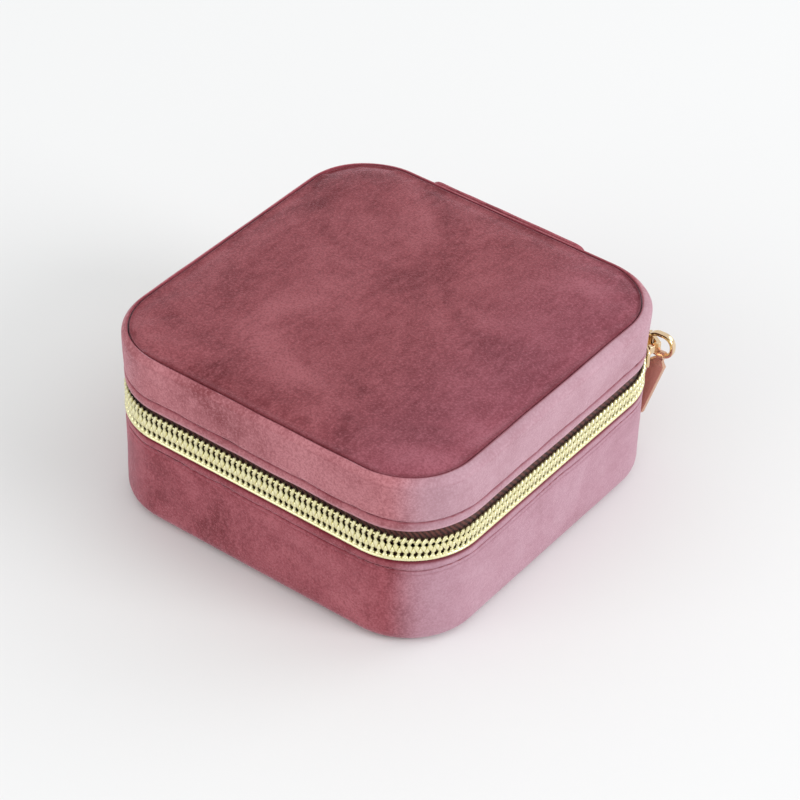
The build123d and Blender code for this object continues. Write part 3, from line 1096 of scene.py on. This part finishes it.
@dataclass
class LidShell(Assembly):
    """Outside of the lid: velvet wall with a hem and the padded top."""

    rounding: float = 1.5 * MM
    seam: float = 1.7 * MM
    hem: float = 2.9 * MM
    crease: float = 0.42 * MM
    crown_cap: float = 0.45 * MM
    flare: float = 0.45 * MM
    rim_slope: float = 0.55 * MM
    seam_drift: float = 1.1 * MM
    edge_roll: float = 4.5 * MM
    edge_drop: float = 0.62 * MM

    def wall(self) -> None:
        """Builds the wall cover from the rim up, over the edge and into the seam."""
        z, top, r, c = self.sizes.lid_rim, self.sizes.top_edge, self.rounding, self.sizes.cover
        line, s = z + self.hem, self.seam / MM
        rows = self.sizes.hem_rows(z, line, self.crease, 1) + [(0.0, line + MM)]
        rows += level_rows(0.0, line + MM, top - r - 0.9 * MM, 8)
        rows += rows_at(top - r, -1, (0, 0.6), (0.06, 0.3)) + arc_rows(r, top - r, r, 80, 6)
        rows += rows_at(top, -1, (s - 0.10, 0.25), (s + 0.02, 1), (s + 0.05, c / MM),
                        (c / MM, c / MM + 0.2))
        obj = loft("velvet_lid_wall", self.sizes.outline, rows)
        shape = self.sizes.outline.shape
        ruffle(obj, 0.15, 9, 5.0)
        # Painted shade in the hem crease and a darker band below it, a painted highlight on the
        # lit lip above the chain, and painted shade in the fold under the top edge and along the
        # seam.
        shade_folds(obj, lambda co: 0.62 * bell(co.z - line, 0.42 * MM)
                    + 0.20 * bell(co.z - line + 0.9 * MM, 0.6 * MM)
                    - 0.60 * bell(co.z - z - 0.5 * MM, 0.45 * MM)
                    + 0.40 * bell(co.z - top + r - 0.15 * MM, 0.26 * MM)
                    * (0.5 + noise.noise(co / (6 * MM)))
                    + 0.85 * bell(co.z - top + 0.55 * MM, 0.55 * MM)
                    * (border(co, shape) > self.seam - 0.2 * MM)
                    + 0.40 * (co.z > top - 0.5 * MM)
                    * bell(border(co, shape) - self.seam, 0.45 * MM))
        pucker(obj, line, 9.0)
        self.spread(obj)
        hand_over(obj, self.looks.rose_lid_painted_lit, Body.LID, ["lid_wall_cover"])

    def top(self) -> None:
        """Builds the padded top: a rounded panel, folded into the seam and swollen by its foam."""
        edge = self.seam + 0.55 * MM
        shape = tuple(size - edge for size in self.sizes.outline.shape)
        obj = rounded_grid("velvet_lid_top", shape, 72, 72)
        settle(obj, Matrix.Translation((0, 0, self.sizes.top_edge - 0.1 * MM)))
        skirt(obj, [(-0.15, 0.14), (-0.14, 0.28), (-0.16, 0.40), (-0.12, 0.40), (3.0, 0.2)],
              shape)
        level = self.sizes.top_edge - 0.15 * MM
        puff(obj, 2.2, self.crown_cap, lambda co: co.z < level, 20)
        for vert in obj.data.vertices:
            if vert.co.z > level:
                roll = max(0.0, 1 - border(vert.co, shape) / self.edge_roll)
                vert.co.z -= self.edge_drop * roll * roll
        # Painted shade on the skirt tucked into the seam and along the top's border.
        shade_folds(obj, lambda co: 0.95 * (co.z < level - self.edge_drop)
                    + 0.50 * bell(border(co, shape), 0.85 * MM))
        self.spread(obj)
        ruffle(obj, 0.16, 15, 2.0, lambda co: float(co.z > level))
        apply_modifier(obj, "SUBSURF", levels=1, render_levels=1)
        hand_over(obj, self.looks.rose_top_painted_shade, Body.LID, ["lid_top_cover"], 50)

    def spread(self, obj: Object) -> None:
        """Lets the lid widen towards its padded top, and slopes and shifts the top's seam.

        Args:
            obj: The piece of the lid to change.
        """
        low, high = self.sizes.lid_rim, self.sizes.top_edge
        shape = self.sizes.outline.shape
        for vert in obj.data.vertices:
            grow = self.flare * ease((vert.co.z - low) / (high - low))
            inner = ease((border(vert.co, shape) - 0.3 * MM) / (1.3 * MM))
            inner *= ease((vert.co.z - high + 2.2 * MM) / (1.2 * MM))
            right = ease((vert.co.x - 5 * MM) / (40 * MM))
            vert.co.z += self.rim_slope * inner
            vert.co.x -= self.seam_drift * inner * right
            vert.co.x *= 1 + grow / shape[0]
            vert.co.y *= 1 + grow / shape[1]

    def dress(self) -> None:
        """Builds all pieces of the sub-assembly."""
        self.wall()
        self.top()
        self.hem_thread("thread_lid_hem", Body.LID, "hinge_patch_lid",
                        self.sizes.lid_rim + self.hem - 0.05 * MM)


@dataclass
class ZipChain(Assembly):
    """Zip: woven tapes, interlocking teeth and the cords along their feet.

    A tooth's profile gives height, width and depth of each ring, in millimetres.
    """

    pitch: float = 1.6 * MM
    tape_thickness: float = 0.6 * MM
    tooth_thickness: float = 1.5 * MM
    back_angle: float = 77.0
    slant: float = 0.30 * MM
    bead_rise: float = -0.20 * MM
    upper_swell: float = 1.45 * MM
    lower_swell: float = 0.25 * MM
    bead_lean: float = 0.80 * MM
    head: tuple[Triple, ...] = ((2.70, 1.38, 1.30), (3.15, 0.80, 1.15), (3.60, 0.22, 0.90))
    upper_foot: tuple[Triple, ...] = (
        (0.05, 0.72, 0.80), (0.35, 1.08, 1.20), (0.85, 1.15, 1.40), (1.25, 1.40, 1.20),
        (1.48, 0.84, 0.85), (2.00, 0.84, 0.85), (2.25, 1.54, 1.15))
    lower_foot: tuple[Triple, ...] = (
        (0.05, 1.35, 0.80), (0.30, 1.58, 1.10), (0.75, 1.60, 1.30), (1.05, 1.54, 1.20),
        (1.22, 0.82, 0.85), (2.08, 0.82, 0.85), (2.30, 1.52, 1.15))

    def tape(self, name: str, body: Body, node: str) -> None:
        """Builds one tape as a thin closed band.

        Args:
            name: Name of the new object.
            body: The body that carries it.
            node: The CAD node that it stands for.
        """
        low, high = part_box(node)[0][2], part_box(node)[1][2]
        patch_low, patch_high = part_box("hinge_patch_fold")
        gap = 0.6 * MM
        a, b, mid = self.sizes.cover, self.sizes.cover + self.tape_thickness, (low + high) / 2
        rows = [(a, low), (a, mid), (a, high - 0.15 * MM), (a + 0.15 * MM, high),
                (b - 0.15 * MM, high), (b, high - 0.15 * MM), (b, mid), (b, low)]
        obj = loft(name, self.sizes.outline, rows, keep=lambda p: not (
            p.y > 0 and patch_low[0] - gap < p.x < patch_high[0] + gap))
        hand_over(obj, self.looks.tape, body, [node], 40)

    def tooth(self, profile: Sequence[Triple], foot_lean: float) -> Object:
        """Models one turn of the coil: rounded foot, slim leg and a pointed locking head.

        Args:
            profile: Height, width and depth of each ring, in millimetres.
            foot_lean: How far the foot leans along the chain.

        Returns:
            The turn, standing on the origin.
        """
        obj = started("tooth", bpy.ops.mesh.primitive_cylinder_add, vertices=8, radius=0.5,
                      depth=0.1 * MM, rotation=(0, 0, math.pi / 8))
        settle(obj)
        mesh = edit(obj)
        bpy.ops.mesh.select_mode(type="FACE")
        for face in mesh.faces:
            face.select = face.normal.z > 0.5
        for vert in mesh.verts:
            vert.co = (vert.co.x * profile[0][1] * MM, vert.co.y * profile[0][2] * MM,
                       vert.co.z + 0.05 * MM)
        for (low, width, depth), (high, new_width, new_depth) in zip(profile, profile[1:]):
            lean = self.slant * (max(high - 1.2, 0) - max(low - 1.2, 0)) / 2
            bpy.ops.mesh.extrude_region_move(
                TRANSFORM_OT_translate={"value": (lean, 0, (high - low) * MM)})
            chosen = [v.co for v in bmesh.from_edit_mesh(obj.data).verts if v.select]
            bpy.ops.transform.resize(value=(new_width / width, new_depth / depth, 1.0),
                                     center_override=sum(chosen, Vector()) / len(chosen))
        done()
        # Painted shade: each turn is stored darker towards its back.
        shade_folds(obj, lambda co: 0.5 - co.y / self.tooth_thickness)
        for vert in obj.data.vertices:
            vert.co.x += foot_lean * max(0.0, 1 - vert.co.z / (1.5 * MM))
        face_out(obj)
        return obj

    @staticmethod
    def swell(point: Vector) -> float:
        """Share by which the chain spreads: most on the left and front, none on the right."""
        return ease((0.0505 - point.x) / 0.018)

    def teeth(self, name: str, body: Body, node: str) -> None:
        """Sets the teeth of one side along the case.

        Args:
            name: Name of the new object.
            body: The body that carries them; the lid's hang down and sit half a pitch on.
            node: The CAD node that they stand for.
        """
        sizes, upper = self.sizes, body is Body.LID
        lengths = sizes.outline.part_lengths()
        core = sizes.outline.half_x - sizes.outline.radius
        start = lengths[0] + lengths[1] + (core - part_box("hinge_patch_fold")[0][0]) + 1.2 * MM
        end = sum(lengths) + lengths[0] + lengths[1] * self.back_angle / 90
        count = int((end - start) / self.pitch)
        places = []
        for index in range(count):
            point, out = sizes.outline.along(start + (index + 0.5 * upper) * (end - start) / count)
            foot = (sizes.chain_high + self.bead_rise + self.upper_swell * self.swell(point)
                    if upper else sizes.chain_low - self.lower_swell * self.swell(point))
            reach = (foot - (sizes.chain_low + sizes.chain_high) / 2) / (-3.05 * MM)
            places.append(stand(point, out, foot, 0.35 * MM - self.tooth_thickness / 2)
                          @ Matrix.Scale(reach, 4, UP))
        tooth = (self.tooth(self.upper_foot + self.head, self.bead_lean) if upper
                 else self.tooth(self.lower_foot + self.head, 0.0))
        obj = repeat(name, tooth, places)
        if upper:
            face_out(obj)
        hand_over(obj, self.looks.gold, body, [node], 70)

    def cord(self, name: str, height: float, radius: float, lift: float, body: Body) -> None:
        """Lays a round cord along the feet of one side's teeth.

        Args:
            name: Name of the new object.
            height: Height of its middle.
            radius: Its radius.
            lift: How far out from the outline it lies.
            body: The body that carries it.
        """
        turns = [math.radians(45 * step) for step in range(8)]
        rows = [(-lift - radius * math.cos(a), height + radius * math.sin(a)) for a in turns]
        obj = loft(name, self.sizes.outline, rows, keep=self.has_teeth)
        change = self.upper_swell if body is Body.LID else -self.lower_swell
        for vert in obj.data.vertices:
            vert.co.z += change * self.swell(vert.co)
        hand_over(obj, self.looks.gold, body)

    def has_teeth(self, point: Vector) -> bool:
        """Tells whether a place on the outline lies along the teeth.

        Args:
            point: The place.

        Returns:
            True along the teeth.
        """
        half_x, half_y, radius = self.sizes.outline.shape
        core_x, core_y = half_x - radius, half_y - radius
        angle = math.degrees(math.atan2(point.y - core_y, point.x - core_x))
        right_back = point.x > core_x and point.y > core_y and angle > self.back_angle
        inside = abs(point.x) < core_x and point.y > core_y and point.x > -28 * MM
        return not (right_back or inside)

    def dress(self) -> None:
        """Builds all pieces of the sub-assembly."""
        s = self.sizes
        self.tape("tape_lower", Body.BASE, "zip_lower_tape")
        self.tape("tape_upper", Body.LID, "zip_upper_tape")
        self.teeth("teeth_lower", Body.BASE, "zip_lower_coil")
        self.teeth("teeth_upper", Body.LID, "zip_upper_coil")
        self.cord("cord_lower", s.chain_low + 0.45 * MM, 0.45 * MM, -0.16 * MM, Body.BASE)
        self.cord("cord_upper", s.chain_high - 1.45 * MM, 0.34 * MM, -0.62 * MM, Body.LID)


@dataclass
class HingeStrip(Assembly):
    """Padded velvet strip sewn over the back, and the lining strip inside."""

    stitch_inset: float = 2.6 * MM
    rise: float = 0.6 * MM
    flare: float = 0.45 * MM

    def __post_init__(self) -> None:
        """Reads the strip's box from its lower and upper part."""
        (self.left, self.face, self.foot), (right, back, _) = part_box("hinge_patch_base")
        self.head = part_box("hinge_patch_lid")[1][2]
        self.half_x, self.depth = (right - self.left) / 2, back - self.face

    def hang(self, obj: Object, rise: float) -> None:
        """Turns a flat piece upright and sets it on the back wall.

        Args:
            obj: The piece, face up about the origin.
            rise: How far its top is raised over the strip's box.
        """
        middle = Vector((self.left + self.half_x, self.face, (self.foot + self.head + rise) / 2))
        turn = Matrix(((-1, 0, 0), (0, 0, 1), (0, 1, 0))).to_4x4()
        settle(obj, Matrix.Translation(middle) @ turn)

    def bend(self, obj: Object, y: float) -> None:
        """Puts a piece's place into its mesh, without bending it."""
        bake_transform(obj)

    def strip(self) -> None:
        """Builds the outer strip in one piece."""
        half_z = (self.head + self.rise - self.foot) / 2
        shape = (self.half_x - 0.3 * MM, half_z - 0.3 * MM, 4.0 * MM)
        obj = rounded_grid("velvet_hinge_strip", shape, 56, 48)
        for vert in obj.data.vertices:
            inside = min(shape[0] - abs(vert.co.x), shape[1] - abs(vert.co.y))
            edge = max(0.0, 1 - inside / (1.2 * MM))
            groove = bell(inside - self.stitch_inset, 0.5 * MM)
            vert.co.z = self.depth - (0.3 + edge ** 2 * 0.5 + groove * 0.28) * MM
        skirt(obj, [(-0.25, 0.45), (0.0, 0.5), (0.1, 0.5)], shape)
        self.hang(obj, self.rise)
        low, high = self.sizes.lid_rim, self.sizes.top_edge
        for vert in obj.data.vertices:
            vert.co.y += self.flare * ease((vert.co.z - low) / (high - low))
        ruffle(obj, 0.14, 7, 4.0, lambda co: float(co.y > self.face + MM))
        apply_modifier(obj, "SUBSURF", levels=1, render_levels=1)
        hand_over(obj, self.looks.rose, None,
                  ["hinge_patch_base", "hinge_patch_fold", "hinge_patch_lid"])
        self.bend(obj, self.face)

    def stitches(self) -> None:
        """Top-stitches the strip along its border."""
        inset = self.stitch_inset + 0.3 * MM
        seam = Outline(self.half_x - inset, (self.head - self.foot) / 2 - inset, 2.0 * MM)
        total = sum(seam.part_lengths())
        count = int(total / (2.4 * MM))
        places = []
        for index in range(count):
            point, out = seam.along(index * total / count)
            places.append(axes_at(Vector((-out.y, out.x, 0)), UP, out,
                                  point + UP * (self.depth - 0.38 * MM)))
        obj = repeat("thread_hinge_strip", stitch_shape(), places)
        self.hang(obj, 0.0)
        hand_over(obj, self.looks.thread, None)
        self.bend(obj, self.face)

    def inner(self) -> None:
        """Builds the lining strip that covers the joint inside."""
        low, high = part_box("hinge_inner_lining")
        obj = started("velvet_hinge_lining", bpy.ops.mesh.primitive_grid_add,
                      x_subdivisions=36, y_subdivisions=20, size=1.0)
        height = high[2] - low[2] + 2 * 2.5 * MM
        for vert in obj.data.vertices:
            share = vert.co.y
            pleat = 0.35 * MM * math.cos(share * math.pi * 2) * (1 - abs(2 * share) ** 3)
            vert.co = ((low[0] + high[0]) / 2 + vert.co.x * (high[0] - low[0]),
                       low[1] - 0.15 * MM - pleat, (low[2] + high[2]) / 2 + share * height)
        apply_modifier(obj, "SOLIDIFY", thickness=0.45 * MM, offset=0.0)
        face_out(obj)
        hand_over(obj, self.looks.lining, None, ["hinge_inner_lining"])
        self.bend(obj, low[1])

    def dress(self) -> None:
        """Builds all pieces of the sub-assembly."""
        self.strip()
        self.stitches()
        self.inner()


@dataclass
class BaseInside(Assembly):
    """Lining, ring rolls and dividers in the base."""

    roll_clearance: float = 0.25 * MM

    def lining(self) -> None:
        """Builds the lined tray with its turned rim."""
        s, curve = self.sizes, 1.2 * MM
        z, w, f = s.base_rim, s.wall, s.floor
        rows = s.lining_rows(z, -1) + level_rows(w, z - 0.6 * MM, f + curve, 8)
        rows += arc_rows(w + curve, f + curve, curve, -90, 4) + [(w + 5 * MM, f)]
        tray = loft("velvet_base_lining", s.outline, rows, Closing.CAPS)
        mesh = edit(tray)
        bpy.ops.mesh.select_mode(type="FACE")
        for face in mesh.faces:
            face.select = len(face.verts) > 8 and face.calc_center_median().z > f + 5 * MM
        bpy.ops.mesh.delete(type="FACE")
        done()
        apply_modifier(tray, "SOLIDIFY", thickness=0.5 * MM, offset=-1.0)
        face_out(tray)
        hand_over(tray, self.looks.lining, Body.BASE, ["base_lining"], 50)

    def roll(self) -> Object:
        """Models one ring roll: a soft bolster, flat where it stands."""
        low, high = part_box("ring_roll_3")
        size, gap = Vector(high) - Vector(low), 0.5 * MM
        obj = started("ring_roll_pattern", bpy.ops.mesh.primitive_cube_add, size=1.0)
        settle(obj, Matrix.Diagonal((size.x, size.y - gap, size.z - gap, 1)))
        mesh = edit(obj)
        bpy.ops.mesh.select_mode(type="EDGE")
        for edge in mesh.edges:
            a, b = edge.verts
            edge.select = abs(a.co.x - b.co.x) > size.x / 2 and a.co.z > 0
        bpy.ops.mesh.bevel(offset=(size.y - gap) / 2 - 0.3 * MM, segments=8, affect="EDGES")
        done()
        apply_modifier(obj, "REMESH", mode="VOXEL", voxel_size=1.3 * MM)
        foot = -size.z / 2 + 1.5 * MM
        puff(obj, 4.0, 0.45 * MM, lambda co: co.z < foot, 16)
        apply_modifier(obj, "SMOOTH", factor=0.5, iterations=4)
        return obj

    def rolls(self) -> None:
        """Sets a copy of the roll at each place, trimmed to the case's round corners."""
        pattern = self.roll()
        half_x, half_y, radius = self.sizes.outline.shape
        reach = radius - self.sizes.wall - self.roll_clearance
        for number in range(1, 7):
            node = f"ring_roll_{number}"
            low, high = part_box(node)
            obj = linked(f"velvet_roll_{number}", pattern.data.copy())
            obj.data.name = obj.name
            settle(obj, Matrix.Translation((Vector(low) + Vector(high)) / 2))
            for vert in obj.data.vertices:
                core = core_point(vert.co, half_x - radius, half_y - radius)
                away = vert.co.xy - core
                if away.length > reach:
                    vert.co.xy = core + away.normalized() * reach
                vert.co.z = max(vert.co.z, low[2] + 0.02 * MM)
            ruffle(obj, 0.18, 6, number * 1.3,
                   lambda co: float(co.z > self.sizes.floor + 4 * MM))
            hand_over(obj, self.looks.lining, Body.BASE, [node], 80)
        bpy.data.objects.remove(pattern, do_unlink=True)

    def divider(self, node: str) -> None:
        """Models one cloth-wrapped divider with a rounded top and softened ends.

        Args:
            node: The CAD node that it stands for.
        """
        low, high = (Vector(corner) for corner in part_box(node))
        size = high - low
        thick = min(size.x, size.y)
        obj = started(f"velvet_{node}", bpy.ops.mesh.primitive_cube_add, size=1.0)
        settle(obj, Matrix.Translation((low + high) / 2) @ Matrix.Diagonal((*size, 1)))
        mesh = edit(obj)
        bpy.ops.mesh.select_mode(type="EDGE")
        for edge in mesh.edges:
            a, b = (v.co for v in edge.verts)
            flat = abs(a.z - b.z) < 1e-7 and a.z > (low.z + high.z) / 2
            edge.select = flat and (a - b).length > thick * 2
        bpy.ops.mesh.bevel(offset=thick * 0.48, segments=5, affect="EDGES")
        for parts, normal in ((24, (1, 0, 0) if size.x > size.y else (0, 1, 0)), (6, UP)):
            for share in range(1, parts):
                select_all()
                bpy.ops.mesh.bisect(plane_co=low + size * (share / parts), plane_no=normal)
        done()
        face_out(obj)
        ruffle(obj, 0.10, 6, size.x * 1000, lambda co: float(co.z > low.z + MM))
        hand_over(obj, self.looks.lining, Body.BASE, [node], 50)

    def dress(self) -> None:
        """Builds all pieces of the sub-assembly."""
        self.lining()
        self.rolls()
        for node in ("long_divider", "short_divider_1", "short_divider_2"):
            self.divider(node)


@dataclass
class LidInside(Assembly):
    """Lining, padded mirror frame and mirror in the lid."""

    lip: float = 1.5 * MM
    mirror_corner: float = 10.0 * MM
    ground_edge: float = 1.8 * MM

    def lining(self) -> None:
        """Builds the lining of the lid's wall with its turned rim."""
        s, inset = self.sizes, self.sizes.wall - 0.5 * MM
        rows = s.lining_rows(s.lid_rim, 1)
        rows += level_rows(s.wall, s.lid_rim + 0.6 * MM, s.ceiling, 5)
        rows += [(s.wall, s.ceiling), (inset, s.ceiling), (inset, s.lid_rim + 1.0 * MM)]
        obj = loft("velvet_lid_lining", s.outline, rows)
        hand_over(obj, self.looks.lining, Body.LID, ["lid_lining"], 50)

    def frame_pad(self) -> None:
        """Builds the padded surround that holds the mirror's edge."""
        low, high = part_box("mirror_frame")
        mirror_low, mirror_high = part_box("mirror")
        hole = Outline(mirror_high[0] - self.lip, mirror_high[1] - self.lip,
                       self.mirror_corner - self.lip)
        face, w, curve = low[2], self.sizes.wall + 0.05 * MM, 1.3 * MM
        rows = [(w, high[2]), (w, face + 1.6 * MM)]
        rows += arc_rows(w + curve, face + curve, curve, -80, 4)
        rows += rows_at(face, 1, (w / MM + 3.0, -0.12), (w / MM + 5.0, -0.2))
        turn = len(rows)
        rows += rows_at(face, 1, (-2.6, -0.1), (-1.0, 0.02), (-0.2, 0.3), (0.0, 0.6))
        rows += rows_at(mirror_low[2], 1, (0.0, -0.08), (-1.2, -0.06), (-2.0, -0.06))
        rows += [(-2.0 * MM, high[2])]
        obj = loft("velvet_mirror_frame", self.sizes.outline, rows, other=(hole, turn))
        ruffle(obj, 0.12, 7, 6.0, lambda co: float(co.z < face + MM))
        hand_over(obj, self.looks.lining, Body.LID, ["mirror_frame"])

    def mirror(self) -> None:
        """Builds the mirror plate with a ground bevel on its face."""
        low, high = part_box("mirror")
        flat = (self.lip + self.ground_edge) / MM
        rows = rows_at(high[2], -1, (0.15, 0), (0, 0.15))
        rows += rows_at(low[2], 1, (0, 0.5), (0.1, 0.35), (flat, 0), (flat + 1, 0))
        obj = loft("mirror_plate", Outline(high[0], high[1], self.mirror_corner), rows,
                   Closing.CAPS)
        hand_over(obj, self.looks.mirror, Body.LID, ["mirror"], 8)

    def dress(self) -> None:
        """Builds all pieces of the sub-assembly."""
        self.lining()
        self.frame_pad()
        self.mirror()


@dataclass
class Puller(Assembly):
    """Slider, crown, flat hoop and the long tab."""

    hoop_length: float = 7.6 * MM
    hoop_corner: float = 3.2 * MM
    hoop_thickness: float = 1.5 * MM
    hoop_wire: float = 1.05 * MM
    hoop_edge: float = 0.3 * MM
    tab_lean: float = 14.0
    shoulder: float = 3.2 * MM
    eye_along: float = 4.1 * MM
    chamfer: float = 0.40 * MM

    def __post_init__(self) -> None:
        """Reads the direction of the tab's pin, and the one square to it."""
        self.along = Vector(joint("tab_pivot")["axis"]).normalized()
        self.out = Vector((-self.along.y, self.along.x, 0.0))

    def facet(self, obj: Object) -> None:
        """Cuts a shoulder across the tab, with a head that thins towards its eye.

        Args:
            obj: The tab.
        """
        pivot = Vector(joint("tab_pivot")["pos_m"])
        lean = math.radians(self.tab_lean)
        down = -self.along * math.sin(lean) - UP * math.cos(lean)
        for drop in (self.shoulder * 0.45, self.shoulder, self.shoulder + 0.5 * MM):
            edit(obj)
            select_all()
            bpy.ops.mesh.bisect(plane_co=pivot + down * drop, plane_no=down)
            done()
        for vert in obj.data.vertices:
            place = vert.co - pivot
            drop, off = place.dot(down), place.dot(self.out)
            if self.shoulder * 0.4 < drop <= self.shoulder + 0.1 * MM:
                share = 0.62 + 0.53 * min(1.0, (drop / self.shoulder - 0.45) / 0.55)
                vert.co += self.out * off * (share - 1)
        mesh = edit(obj)
        bpy.ops.mesh.select_mode(type="EDGE")
        for edge in mesh.edges:
            sharp = edge.is_manifold and edge.calc_face_angle() > math.radians(55)
            edge.select = sharp and all((v.co - pivot).dot(down) > self.shoulder * 0.42
                                        for v in edge.verts)
        bpy.ops.mesh.bevel(offset=self.chamfer, segments=1, affect="EDGES", clamp_overlap=False)
        done()

    def polished(self, node: str, name: str, body: Body, bevel: float, look: Look,
                 angle: float = 30.0, steps: int = 3) -> None:
        """Rounds and polishes the edges of a cast metal piece.

        Args:
            node: The CAD node whose shape is cast.
            name: Name of the new object.
            body: The body that carries it.
            bevel: Width of the rounded edges.
            look: Its finish.
            angle: Edges sharper than this are rounded.
            steps: Facets of each rounded edge; 1 leaves a flat chamfer.
        """
        obj = linked(name, frame["nodes"][node].data.copy())
        edit(obj)
        select_all()
        bpy.ops.mesh.remove_doubles(threshold=2e-6)
        bpy.ops.mesh.dissolve_limited(angle_limit=math.radians(3))
        bpy.ops.mesh.normals_make_consistent(inside=False)
        done()
        if body is Body.TAB:
            self.facet(obj)
        apply_modifier(obj, "BEVEL", width=bevel, segments=steps, limit_method="ANGLE",
                       angle_limit=math.radians(angle), harden_normals=False)
        hand_over(obj, look, body, [node], 35)

    def hoop(self) -> None:
        """Bends a flat band into the hoop that turns in the crown and carries the tab."""
        low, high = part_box("puller_ring")
        half_x, half_z = self.hoop_length / 2, (high[2] - low[2]) / 2
        outline = Outline(half_x, half_z, self.hoop_corner, side_steps=8, corner_steps=12)
        t, w, e = self.hoop_thickness / 2, self.hoop_wire, self.hoop_edge
        q = 0.25 * e
        rows = [(w - e, t), (e, t), (q, t - q), (0.0, t - e), (0.0, e - t), (q, q - t), (e, -t),
                (w - e, -t), (w - q, q - t), (w, e - t), (w, t - e), (w - q, t - q)]
        obj = loft("puller_hoop", outline, rows)
        for vert in obj.data.vertices:
            at_bar = bell(vert.co.x + half_x, 0.9 * MM) * bell(vert.co.y, 1.9 * MM)
            at_eye = (bell(vert.co.y + half_z, 0.9 * MM)
                      * bell(vert.co.x + half_x - self.eye_along, 1.5 * MM))
            vert.co.z *= 1 - 0.45 * max(at_bar, at_eye)
        middle = Vector(joint("ring_pivot")["pos_m"]) + self.along * (half_x - w / 2)
        middle.z = (low[2] + high[2]) / 2
        settle(obj, axes_at(self.along, UP, self.out, middle))
        face_out(obj)
        hand_over(obj, self.looks.warm_gold, Body.RING, ["puller_ring"], 50)

    def dress(self) -> None:
        """Builds all pieces of the sub-assembly."""
        warm = self.looks.warm_gold
        self.polished("slider_plate", "slider_plate_cast", Body.SLIDER, 0.28 * MM, warm)
        self.polished("slider_crown", "slider_crown_cast", Body.SLIDER, 0.25 * MM, warm)
        self.hoop()
        self.polished("puller_tab", "puller_bar", Body.TAB, 0.06 * MM, self.looks.rose_gold,
                      40.0, 1)


@dataclass(frozen=True)
class Studio:
    """Pale floor, soft lights and the camera."""

    azimuth: float = 36.07
    elevation: float = 38.69
    roll: float = 1.956
    distance: float = 745.0 * MM
    focal: float = 137.75
    aim_height: float = 24.67 * MM
    slide_right: float = 3.232 * MM
    slide_up: float = -1.941 * MM
    world_light: float = 0.86
    floor_colour: Colour = (0.80, 0.81, 0.81)
    lamps: tuple[tuple[str, Triple, float, float, Colour], ...] = (
        ("key", (2.20, 0.48, 1.06), 1.3, 29.0, (1.0, 0.98, 1.0)),
        ("fill", (-0.90, -2.20, 1.00), 2.0, 14.5, (1.0, 1.0, 1.0)),
        ("back", (1.00, 1.80, 1.20), 1.4, 8.0, (1.0, 1.0, 1.0)))

    def camera(self) -> None:
        """Places the camera at the product's usual three-quarter view."""
        a, e, r = (math.radians(v) for v in (self.azimuth, self.elevation, self.roll))
        back = Vector((math.sin(a) * math.cos(e), -math.cos(a) * math.cos(e), math.sin(e)))
        right = Vector((math.cos(a), math.sin(a), 0.0))
        up = back.cross(right)
        across = right * math.cos(r) + up * math.sin(r)
        upward = up * math.cos(r) - right * math.sin(r)
        data = bpy.data.cameras.new("camera")
        data.lens = self.focal
        data.sensor_width = 36.0
        data.clip_start = 0.01
        camera = linked("camera", data)
        camera.matrix_world = axes_at(
            across, upward, back, UP * self.aim_height + back * self.distance
            + across * self.slide_right + upward * self.slide_up)
        bpy.context.scene.camera = camera

    def lamp(self, name: str, place: Triple, size: float, power: float, colour: Colour) -> None:
        """Adds one soft lamp that points at the case.

        Args:
            name: Its name.
            place: Where it hangs.
            size: Diameter of its disc.
            power: Power in watts.
            colour: Colour of its light.
        """
        data = bpy.data.lights.new(name, "AREA")
        data.shape = "DISK"
        data.size = size
        data.energy = power
        data.color = colour
        lamp = linked(name, data)
        lamp.location = place
        aim = UP * 20 * MM - Vector(place)
        lamp.rotation_euler = aim.to_track_quat("-Z", "Y").to_euler()

    def floor(self) -> None:
        """Lays a plain pale floor."""
        ground = started("floor", bpy.ops.mesh.primitive_plane_add, size=12.0,
                         location=(0, 0, -0.02 * MM))
        ground.data.materials.append(Graph("pale_floor").finish(
            (*self.floor_colour, 1.0), 0.9, [], Specular_IOR_Level=0.0))

    def build(self) -> None:
        """Builds the whole set."""
        self.camera()
        self.floor()
        world = bpy.data.worlds.new("studio")
        world.use_nodes = True
        background = world.node_tree.nodes["Background"]
        background.inputs["Color"].default_value = (1, 1, 1, 1)
        background.inputs["Strength"].default_value = self.world_light
        bpy.context.scene.world = world
        bpy.context.scene.view_settings.view_transform = "Standard"
        for lamp in self.lamps:
            self.lamp(*lamp)


def dress_hidden(looks: Wardrobe) -> None:
    """Gives the stiff parts under the cloth, and the small stops, their finishes.

    Args:
        looks: All finishes.
    """
    boards = ("base_bottom_board", "base_wall_board", "lid_top_board", "lid_wall_board",
              "mirror_board")
    stops = ("zip_lower_top_stop", "zip_upper_top_stop")
    for nodes, look in ((boards, looks.board), (("lid_top_foam",), looks.foam),
                        (stops, looks.gold)):
        for node in nodes:
            for place in frame["nodes"][node].material_slots:
                place.material = look.material
            LOG.info("%s: finished", node)


def main() -> None:
    """Builds every sub-assembly in order and reports it."""
    logging.basicConfig(level=logging.INFO, format="%(name)s %(message)s")
    looks, sizes = Wardrobe(), CaseSizes.read()
    for kind in (BaseShell, LidShell, ZipChain, HingeStrip, BaseInside, LidInside, Puller):
        LOG.info("building %s", kind.__name__)
        kind(sizes, looks).dress()
    dress_hidden(looks)
    Studio().build()


if __name__ == "__main__":
    main()
